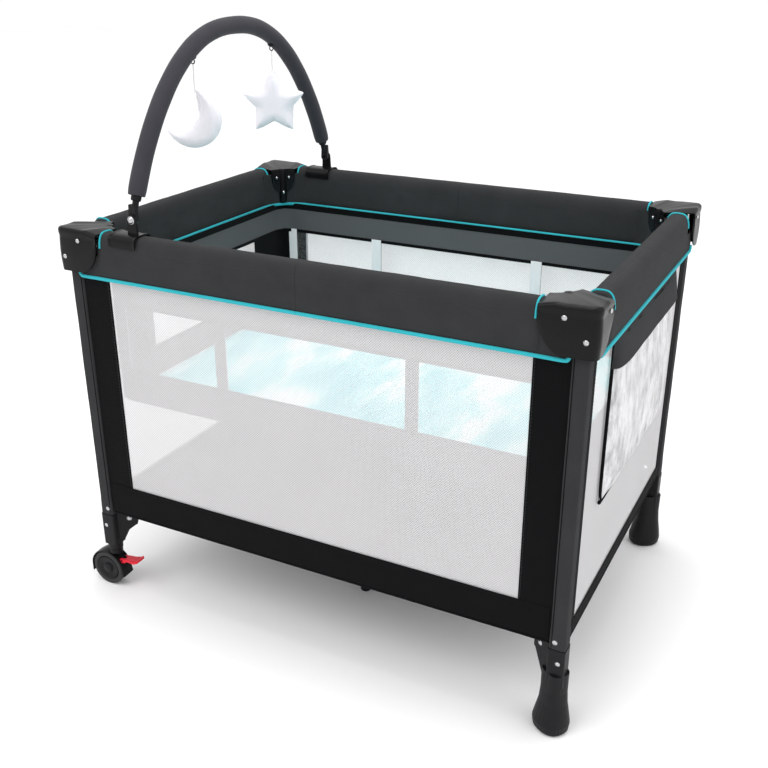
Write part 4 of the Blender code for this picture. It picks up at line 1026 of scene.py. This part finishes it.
def cap_skin(u, v, inset):
    """A cap's outer plates (v under 0.5), their bead (to 0.72) and its dished top."""
    a, b = cap_outline(u)
    flat = -(CAP_OUT - CAP_BEND)
    normal = Vector((a - max(a, flat), b - max(b, flat))).normalized()
    along = abs(2 * u - 1)
    dip = 0.0012 * math.sin(math.pi * min(1.0, along * 1.25)) ** 2
    high = CAP_TOP - dip - 0.0060 * max(0.0, along - 0.62) / 0.38
    if v < 0.5:
        share = v / 0.5
        leaf = 1 - math.sqrt(max(0.0, 1 - (max(0.0, along - 0.34) / 0.66) ** 2.0))
        low = CAP_LOW + (high - CAP_LOW - 0.012) * leaf
        out = 0.0016 * math.sin(math.pi * min(1.0, share * 1.15)) + (0.0012 if share > 0.93 else 0.0) - inset
        return a + normal.x * out, b + normal.y * out, low + (high - CAP_RIM - low) * share
    if v < 0.72:
        t = math.pi / 2 * (v - 0.5) / 0.22
        out = 0.0012 - CAP_RIM * (1 - math.cos(t)) - inset * math.cos(t)
        z = high - CAP_RIM + CAP_RIM * math.sin(t) - inset * math.sin(t)
        return a + normal.x * out, b + normal.y * out, z
    share = (v - 0.72) / 0.28
    end_a, end_b = cap_inner(u)
    start_a, start_b = a + normal.x * (0.0012 - CAP_RIM), b + normal.y * (0.0012 - CAP_RIM)
    z = high + (CAP_TOP - 0.0055 - high) * share**1.5 - inset
    return start_a + (end_a - start_a) * share, start_b + (end_b - start_b) * share, z


def cap_fan(u, v, inset):
    """A cap's inner plate, which follows the corner cover."""
    a, b = cap_inner(u)
    toward = Vector((CORNER_REACH - a, CORNER_REACH - b)).normalized()
    high = CAP_TOP - 0.0060
    low = high - 0.012 - 0.046 * math.sqrt(max(0.0, 1 - (2 * u - 1) ** 2))
    out = 0.0014 * math.sin(math.pi * v) - inset
    return a + toward.x * out, b + toward.y * out, low + (high - low) * v


def cap(tag):
    """Moulded cap: leaf-shaped outer plates, a beaded and dished top, a fan plate inside, and rivets."""
    (sx, sy), p, body = SIGNS[tag], POSTS[tag], f"post_{tag}"

    def placed(surface):
        def moved(u, v, inset):
            a, b, z = surface(u, v, inset)
            return Vector((p.x - sx * a, p.y - sy * b, z))
        return moved

    fan = placed(cap_fan)
    outer = shell(f"cap_shell_{tag}", 56, 30, placed(cap_skin), 0.0, 0.0026, "cap")
    put(outer, body, "black_plastic", f"corner_cap_{tag}")
    put(shell(f"cap_fan_{tag}", 30, 10, fan, 0.0, 0.0024, "cap"), body, "black_plastic")
    inward = Vector((-sx, -sy, 0)).normalized()
    ridge_at = fan(0.5, 0.5, 0.0) - inward * 0.0050
    profile = [(0.0086, CAP_LOW - 0.002), (0.0092, CAP_LOW), (0.0092, CAP_TOP - 0.010),
               (0.0078, CAP_TOP - 0.005), (0.0030, CAP_TOP - 0.004)]
    ridge = turned(f"cap_ridge_{tag}", profile, Matrix.Translation((ridge_at.x, ridge_at.y, 0)), "cap", 28)
    put(ridge, body, "black_plastic")
    spot = ridge_at + inward * 0.0090
    rivet(f"cap_ridge_rivet_{tag}", (spot.x, spot.y, CAP_LOW + 0.022), inward, body, 0.0030, 0.0015)
    for label, u in (("x", 0.24), ("y", 0.76)):
        a, b = cap_inner(u)
        away = Vector((-sx * (CORNER_REACH - a), -sy * (CORNER_REACH - b), 0)).normalized()
        rivet(f"cap_fan_rivet_{label}_{tag}", fan(u, 0.62, 0.0), away, body, 0.0027, 0.0013)
    face_x, face_y = p.x + sx * CAP_RIVET_OUT, p.y + sy * CAP_RIVET_OUT
    rivet(f"cap_rivet_long_{tag}", (p.x - sx * 0.026, face_y, 0.7690), (0, sy, 0), body)
    rivet(f"cap_rivet_low_{tag}", (p.x + sx * 0.0090, face_y, 0.7360), (0, sy, 0), body)
    rivet(f"cap_rivet_end_{tag}", (face_x, p.y - sy * 0.024, 0.7725), (sx, 0, 0), body)


def bracket_trims(tag):
    """Rivets at both ends of a base tube's pivot, and one at the post socket."""
    (sx, sy), p, body = SIGNS[tag], POSTS[tag], f"post_{tag}"
    joint = JOINTS["fold" if tag == "fl" else f"fold_post_{tag}"]
    pivot, axis = Vector(joint["pos_m"]), Vector(joint["axis"]).normalized()
    for label, sign in (("a", 1), ("b", -1)):
        rivet(f"pivot_rivet_{tag}_{label}", pivot + axis * sign * 0.0115, axis * sign, body, 0.0044, 0.0020)
    spot = (p.x + sx * 0.004, p.y + sy * 0.0160, 0.150)
    rivet(f"socket_rivet_{tag}", spot, (0, sy, 0), body, 0.0036, 0.0016)


def wheels(tag):
    """Tyres, hub caps and inner drums of the twin wheels."""
    body = f"caster_wheels_{tag}"
    low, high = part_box(body)
    middle = (low + high) / 2
    radius, width = (high.z - low.z) / 2, (high.y - low.y) / 2
    # (radius, distance along the axle) points of what is turned
    disc = [(0, -0.0005), (radius - 0.0110, -0.0005), (radius - 0.0118, 0.0012), (radius * 0.55, 0.0018),
            (radius * 0.48, 0.0006), (radius * 0.30, 0.0010), (radius * 0.27, 0.0034),
            (radius * 0.10, 0.0044), (0, 0.0046)]
    tread = [(radius - 0.012, WHEEL_GAP + 0.001), (radius - 0.002, WHEEL_GAP),
             (radius + 0.0001, WHEEL_GAP + 0.0012), (radius + 0.0001, width - 0.0016),
             (radius - 0.0016, width), (radius - 0.0080, width + 0.0002), (radius - 0.0100, width - 0.0022)]
    drum = [(0.0, -WHEEL_GAP), (radius - 0.0112, -WHEEL_GAP), (radius - 0.0112, -width + 0.0032),
            (0, -width + 0.0032)]
    for label, sign in FACES:
        place = facing((middle.x, middle.y + sign * (width - 0.003), middle.z), (0, sign, 0))
        put(turned(f"wheel_cap_{tag}_{label}", disc, place, "plastic", 36), body, "black_plastic")
        rings = [[Vector((middle.x + r * c, middle.y + sign * y, middle.z + r * s)) for c, s in turns(64)]
                 for r, y in tread]
        obj = rings_body(f"tyre_{tag}_{label}", rings, "tyre", 40, True)
        put(obj, body, "rubber", *([body] if label == "out" else []))
    for label, sign in FACES:
        obj = turned(f"wheel_drum_{tag}_{label}", drum, facing(middle, (0, -sign, 0)), "plastic", 40)
        put(obj, body, "black_plastic")


def fender(tag):
    """Curved guard over the twin wheels, with a rolled lip at each end."""
    low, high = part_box(f"caster_wheels_{tag}")
    middle, radius = (low + high) / 2, (high.z - low.z) / 2 + 0.0016

    def guard(u, v, thick):
        t = math.radians(-12 + 214 * u)
        lip = 0.0030 * (max(0.0, 0.06 - u) + max(0.0, u - 0.94)) / 0.06
        r = radius + lip + thick + 0.0012 * (1 - (2 * v - 1) ** 2)
        y = middle.y + (2 * v - 1) * 0.0150
        return Vector((middle.x + r * math.cos(t), y, middle.z + r * math.sin(t)))

    put(shell(f"caster_fender_{tag}", 40, 8, guard, 0.0022, 0, "cap"), f"caster_swivel_{tag}", "black_plastic")


def brake_pedal(tag):
    """Flared red pedal with a raised rim, over the caster."""
    body = f"brake_lever_{tag}"
    low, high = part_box(body)

    def surface(u, v, top):
        across = 2 * v - 1
        half = (0.0075 + 0.0085 * u**1.4) * (1 - 0.35 * max(0.0, u - 0.86) / 0.14 * abs(across) ** 2)
        z = low.z + 0.0070 + 0.0052 * u + 0.0045 * max(0.0, u - 0.72) / 0.28
        z += 0.0016 * (abs(across) ** 6 + u**10) if top else -0.0034
        return Vector((low.x + 0.008 + (high.x - low.x - 0.006) * u, (low.y + high.y) / 2 + across * half, z))

    put(shell(f"brake_pedal_{tag}", 22, 14, surface, True, False, "red"), body, "red_plastic")


# ---- toy bar


def clamp(end):
    """Saddle clip over the rail with a lug that carries the arch's rivet."""
    low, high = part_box(f"toy_clamp_{end}")
    sy, rail_y = (-1, YF) if end == "front" else (1, YB)
    pivot = Vector(JOINTS["tilt_toy_arch"]["pos_m"])

    def saddle(u, v, thick):
        t = math.radians(-8 + 196 * v)
        c, z = math.cos(t), math.sin(t)
        grow = 0.0004 + thick
        bead = 0.0008 if u < 0.08 or u > 0.92 else 0.0
        y = rail_y + bowed(c, 0.62) * (SLEEVE_HALF + grow) + math.copysign(bead, c)
        height = CLAMP_MIDDLE + bowed(z, 0.62) * (SLEEVE_TOP - CLAMP_MIDDLE + grow)
        return Vector((low.x + (high.x - low.x) * u, y, height + bead))

    clip_on = shell(f"clamp_saddle_{end}", 24, 30, saddle, 0.0026, 0, "cap")
    put(clip_on, "toy_bar", "black_plastic", f"toy_clamp_{end}")
    face = rail_y + sy * 0.0060
    rings = []
    for back, shrink in ((0, 0.0008), (0.0008, 0.0), (0.0042, 0.0), (0.0050, 0.0008)):
        r = 0.0100 - shrink
        rings.append([
            Vector((pivot.x + r * c * (1.0 if s > 0 else 1.15), face - sy * back,
                    pivot.z + r * s if s > 0 else SLEEVE_TOP - 0.001)) for c, s in turns(28)
        ])
    put(rings_body(f"clamp_lug_{end}", rings, "cap", 40), "toy_bar", "black_plastic")
    rivet(f"clamp_rivet_{end}", (pivot.x, face, pivot.z), (0, sy, 0), "toy_bar", 0.0062, 0.0040)


def arch_from_frame():
    """The arch's middle line: the shape of the tube in the frame, as a rounded gable."""
    low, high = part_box("toy_arch")
    base = Vector(JOINTS["tilt_toy_arch"]["pos_m"])
    span = (high.y - low.y) / 2 - 0.004
    rise = high.z - 0.006 - base.z
    points = []
    for i in range(97):
        t = math.pi * i / 96
        across = math.copysign((1 - min(math.sin(t), 1.0) ** 1.2) ** (1 / 2.33), math.cos(t))
        points.append(Vector((base.x, -across * span, base.z + rise * math.sin(t))))
    return points


def foam():
    """Foam sleeve with slightly crushed ends, and a collar at each."""
    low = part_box("toy_foam")[0]
    path = smooth_path([p for p in arch_from_frame() if p.z > low.z + 0.0015], 2)

    def size(share):
        end = min(1.0, min(share, 1 - share) / 0.012)
        return 0.0165 * (0.93 + 0.07 * end) * (1 + 0.012 * math.sin(share * 57) * math.sin(share * 23))

    obj = put(tube("foam_sleeve", path, size, "foam", 28), "toy_arch", "foam", "toy_foam")
    profile = [(0.0062, -0.004), (0.0092, -0.004), (0.0096, 0.006), (0.0086, 0.0095), (0.0062, 0.0100)]
    for name, point, inner in (("front", path[0], path[2]), ("back", path[-1], path[-3])):
        collar = turned(f"arch_collar_{name}", profile, facing(point, point - inner), "satin")
        put(collar, "toy_arch", "black_plastic")


def resampled(outline, step):
    """The outline with its edges cut to about one step each."""
    made = []
    for (ax, az), (bx, bz) in zip(outline, outline[1:] + outline[:1]):
        pieces = max(1, int(math.hypot(bx - ax, bz - az) / step))
        made += [(ax + (bx - ax) * k / pieces, az + (bz - az) * k / pieces) for k in range(pieces)]
    return made


def plush_toy(name, outline, place, thick):
    """A stuffed toy from its flat outline: full in the middle, pinched at the seam."""
    outline = resampled(outline, 0.003)
    here = np.array(outline)
    ahead = np.roll(here, -1, axis=0)
    run = ahead - here
    fullest = 0.020  # distance from the seam at which the toy is as thick as it gets

    def inside(x, z):
        hit = False
        for (ax, az), (bx, bz) in zip(here, ahead):
            if (az > z) != (bz > z) and x < (bx - ax) * (z - az) / (bz - az) + ax:
                hit = not hit
        return hit

    def seam_distance(x, z):
        t = ((x - here[:, 0]) * run[:, 0] + (z - here[:, 1]) * run[:, 1]) / np.maximum((run**2).sum(1), 1e-12)
        near = here + run * np.clip(t, 0, 1)[:, None]
        k = int(np.argmin((near[:, 0] - x) ** 2 + (near[:, 1] - z) ** 2))
        return math.hypot(near[k, 0] - x, near[k, 1] - z)

    bm = bmesh.new()
    bmesh.ops.triangulate(bm, faces=[bm.faces.new([bm.verts.new((x, 0, z)) for x, z in outline])])
    obj = make(name, bm, "plush", 0)
    solid = obj.modifiers.new("thick", "SOLIDIFY")
    solid.thickness, solid.offset = 0.010, 0
    voxels = obj.modifiers.new("voxels", "REMESH")
    voxels.mode, voxels.voxel_size = "VOXEL", 0.0022
    baked(obj)
    for v in obj.data.vertices:
        x, y, z = v.co
        sign = 1 if y >= 0 else -1
        share = min(seam_distance(x, z), fullest) / fullest if inside(x, z) else 0.0
        full = thick * (1 - (1 - share) ** 2) ** 0.5
        wrinkle = 0.0011 * ripple((x, z, sign), 0.016, 31.0) * (1 - share) * min(1.0, share * 5)
        v.co.y = sign * max(full + wrinkle, 0.0006)
    puffed(obj, lambda co: abs(co.y) < 0.0014, 4.0, 0.0030, 0.05)
    obj.data.transform(place)
    obj.data.materials.clear()
    obj.data.materials.append(MAT["plush"])
    soften = obj.modifiers.new("soften", "SMOOTH")
    soften.factor, soften.iterations = 0.5, 3
    baked(obj)
    obj.data.shade_smooth()
    return obj


def moon_points(radius):
    turn, horn = math.radians(140), math.radians(57.3)
    bite, away = 0.86 * radius, 0.72 * radius
    steps = 40
    points = []
    for i in range(steps + 1):
        t = turn + horn + (2 * math.pi - 2 * horn) * i / steps
        points.append((radius * math.cos(t), radius * math.sin(t)))
    hang = points[-1][0]
    edge = math.atan2(radius * math.sin(horn), away - radius * math.cos(horn))
    for i in range(1, steps):
        t = turn + math.pi + edge - 2 * edge * i / steps
        x = away * math.cos(turn) + bite * math.cos(t)
        points.append((x, away * math.sin(turn) + bite * math.sin(t)))
    return [(x - hang, z) for x, z in points]


def star_points(radius):
    """Five blunt, slightly hollow-sided arms."""
    points = []
    for i in range(120):
        t = math.pi / 2 + 2 * math.pi * i / 120
        arm = abs(((t - math.pi / 2) / (2 * math.pi / 5) + 0.5) % 1.0 - 0.5) * 2
        r = radius * (0.985 - 0.44 * (1 - (1 - arm) ** 1.65))
        points.append((r * math.cos(t), r * math.sin(t)))
    return points


def toy(name, outline, thick):
    """A plush toy on its string, with a ring and a small black clip sewn to the foam's underside."""
    hook = Vector(JOINTS["swing_" + name]["pos_m"])
    heights = [z for _, z in outline]
    middle = Vector((hook.x, hook.y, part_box(name)[0].z - min(heights) + 0.0005))
    place = Matrix.Translation(middle) @ Matrix.Rotation(0.50, 4, "Z")
    obj = put(plush_toy(name + "_plush", outline, place, thick), name, "plush", name)
    top = hook.z - 0.0165
    start = Vector((hook.x, hook.y, top - 0.0120))
    end = Vector((hook.x, hook.y, middle.z + max(heights) - 0.006))
    wander = [Vector((0.0004 * math.sin(i), 0.0003 * math.cos(i * 2), 0)) for i in range(9)]
    path = [start.lerp(end, i / 8) + aside for i, aside in enumerate(wander)]
    put(tube(name + "_string", path, 0.0008, "string", 8), name, "plush")
    ring = [(hook.x + 0.0042 * c, hook.y, top - 0.0085 + 0.0042 * s) for c, s in turns(20)]
    put(tube(name + "_ring", ring, 0.0011, "satin", 8, True), name, "black_plastic")
    # height over the clip's own zero, and half widths along X and Y
    levels = ((0.0060, 0.0060, 0.0065), (0.0005, 0.0068, 0.0072), (-0.0030, 0.0060, 0.0060),
              (-0.0052, 0.0030, 0.0034))
    rings = [[(hook.x + bowed(c, 0.6) * hx, hook.y + bowed(s, 0.6) * hy, top + up) for c, s in turns(20)]
             for up, hx, hy in levels]
    put(rings_body(name + "_clip", rings, "satin"), "toy_arch", "black_plastic")


# ---- finishes of the frame's own parts


def finish_nodes():
    looks = {  # the first start of a name that fits gives the material
        "corner_cap": "plastic", "caster_bracket": "satin", "foot": "satin", "caster_hood": "plastic",
        "post": "steel", "base_tube": "steel", "rail_lock": "satin", "rail_button": "plastic",
        "rail": "steel", "hub": "satin", "pull_strap": "strip", "toy_clamp": "plastic",
        "toy_arch": "satin", "brake_lever": "red",
    }
    for name, obj in NODES.items():
        if obj.hide_render:
            continue
        look = next((mat for start, mat in looks.items() if name.startswith(start)), None)
        if look:
            obj.data.materials.clear()
            obj.data.materials.append(MAT[look])
        obj.data.shade_smooth()
        obj.data.set_sharp_from_angle(angle=math.radians(38))


# ---- stage, lights and camera


def stage():
    s = Shader("studio_floor", (0.96, 0.96, 0.965), 0.7, specular=0.0)
    s.blend_colours(s.noise(3, 2), (0.955, 0.955, 0.96), (0.965, 0.965, 0.97))
    mesh = bpy.data.meshes.new("studio_floor")
    size = 14.0
    corners = [(-size, -size, 0), (size, -size, 0), (size, size, 0), (-size, size, 0)]
    mesh.from_pydata(corners, [], [(0, 1, 2, 3)])
    obj = bpy.data.objects.new("studio_floor", mesh)
    obj.location.z = -0.0006
    mesh.materials.append(s.material)
    bpy.context.scene.collection.objects.link(obj)
    world = bpy.data.worlds.new("studio")
    bpy.context.scene.world = world
    world.use_nodes = True
    background = world.node_tree.nodes["Background"]
    background.inputs["Color"].default_value = (1.0, 1.0, 1.0, 1)
    background.inputs["Strength"].default_value = 1.03


def light(name, location, size, power):
    """A soft round lamp that faces the middle of the yard."""
    data = bpy.data.lights.new(name, "AREA")
    data.shape, data.size, data.energy = "DISK", size, power
    obj = bpy.data.objects.new(name, data)
    obj.location = location
    obj.rotation_euler = (Vector((0, 0, 0.4)) - Vector(location)).to_track_quat("-Z", "Y").to_euler()
    bpy.context.scene.collection.objects.link(obj)


def camera():
    """The photo's view: 27.07 degrees round from the front and 23.35 degrees down."""
    data = bpy.data.cameras.new("camera")
    data.lens, data.sensor_width = 46.6, 36
    obj = bpy.data.objects.new("camera", data)
    obj.location = (0.8598, -1.698, 1.2506)
    obj.rotation_euler = (math.pi / 2 - math.radians(23.35), 0, math.radians(27.07))
    bpy.context.scene.collection.objects.link(obj)
    bpy.context.scene.camera = obj


stage()
light("key", (-2.4, -5.2, 6.4), 5.0, 170)
light("fill", (2.8, -0.6, 2.2), 2.4, 16)
light("overhead", (0.1, 0.1, 3.4), 1.6, 34)
camera()

for side_name in SIDES:
    rail_covers(side_name)
    cover_edges(side_name)
    walls(side_name)
for tag_name in SIGNS:
    inner_corner(tag_name)
    post_sleeve(tag_name)
    cap(tag_name)
    bracket_trims(tag_name)
quarters = [floor_quarter(tag_name) for tag_name in SIGNS]
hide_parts("fabric_enclosure")
bassinet()
hooks()
mattress()
pouch()
for tag_name in ("fl", "bl"):
    wheels(tag_name)
    brake_pedal(tag_name)
    fender(tag_name)
for end_name in ("front", "back"):
    clamp(end_name)
foam()
toy("toy_moon", moon_points(0.0545), 0.0150)
toy("toy_star", star_points(0.0690), 0.0165)
finish_nodes()

bpy.context.scene.view_settings.view_transform = "Standard"
bpy.context.view_layer.update()
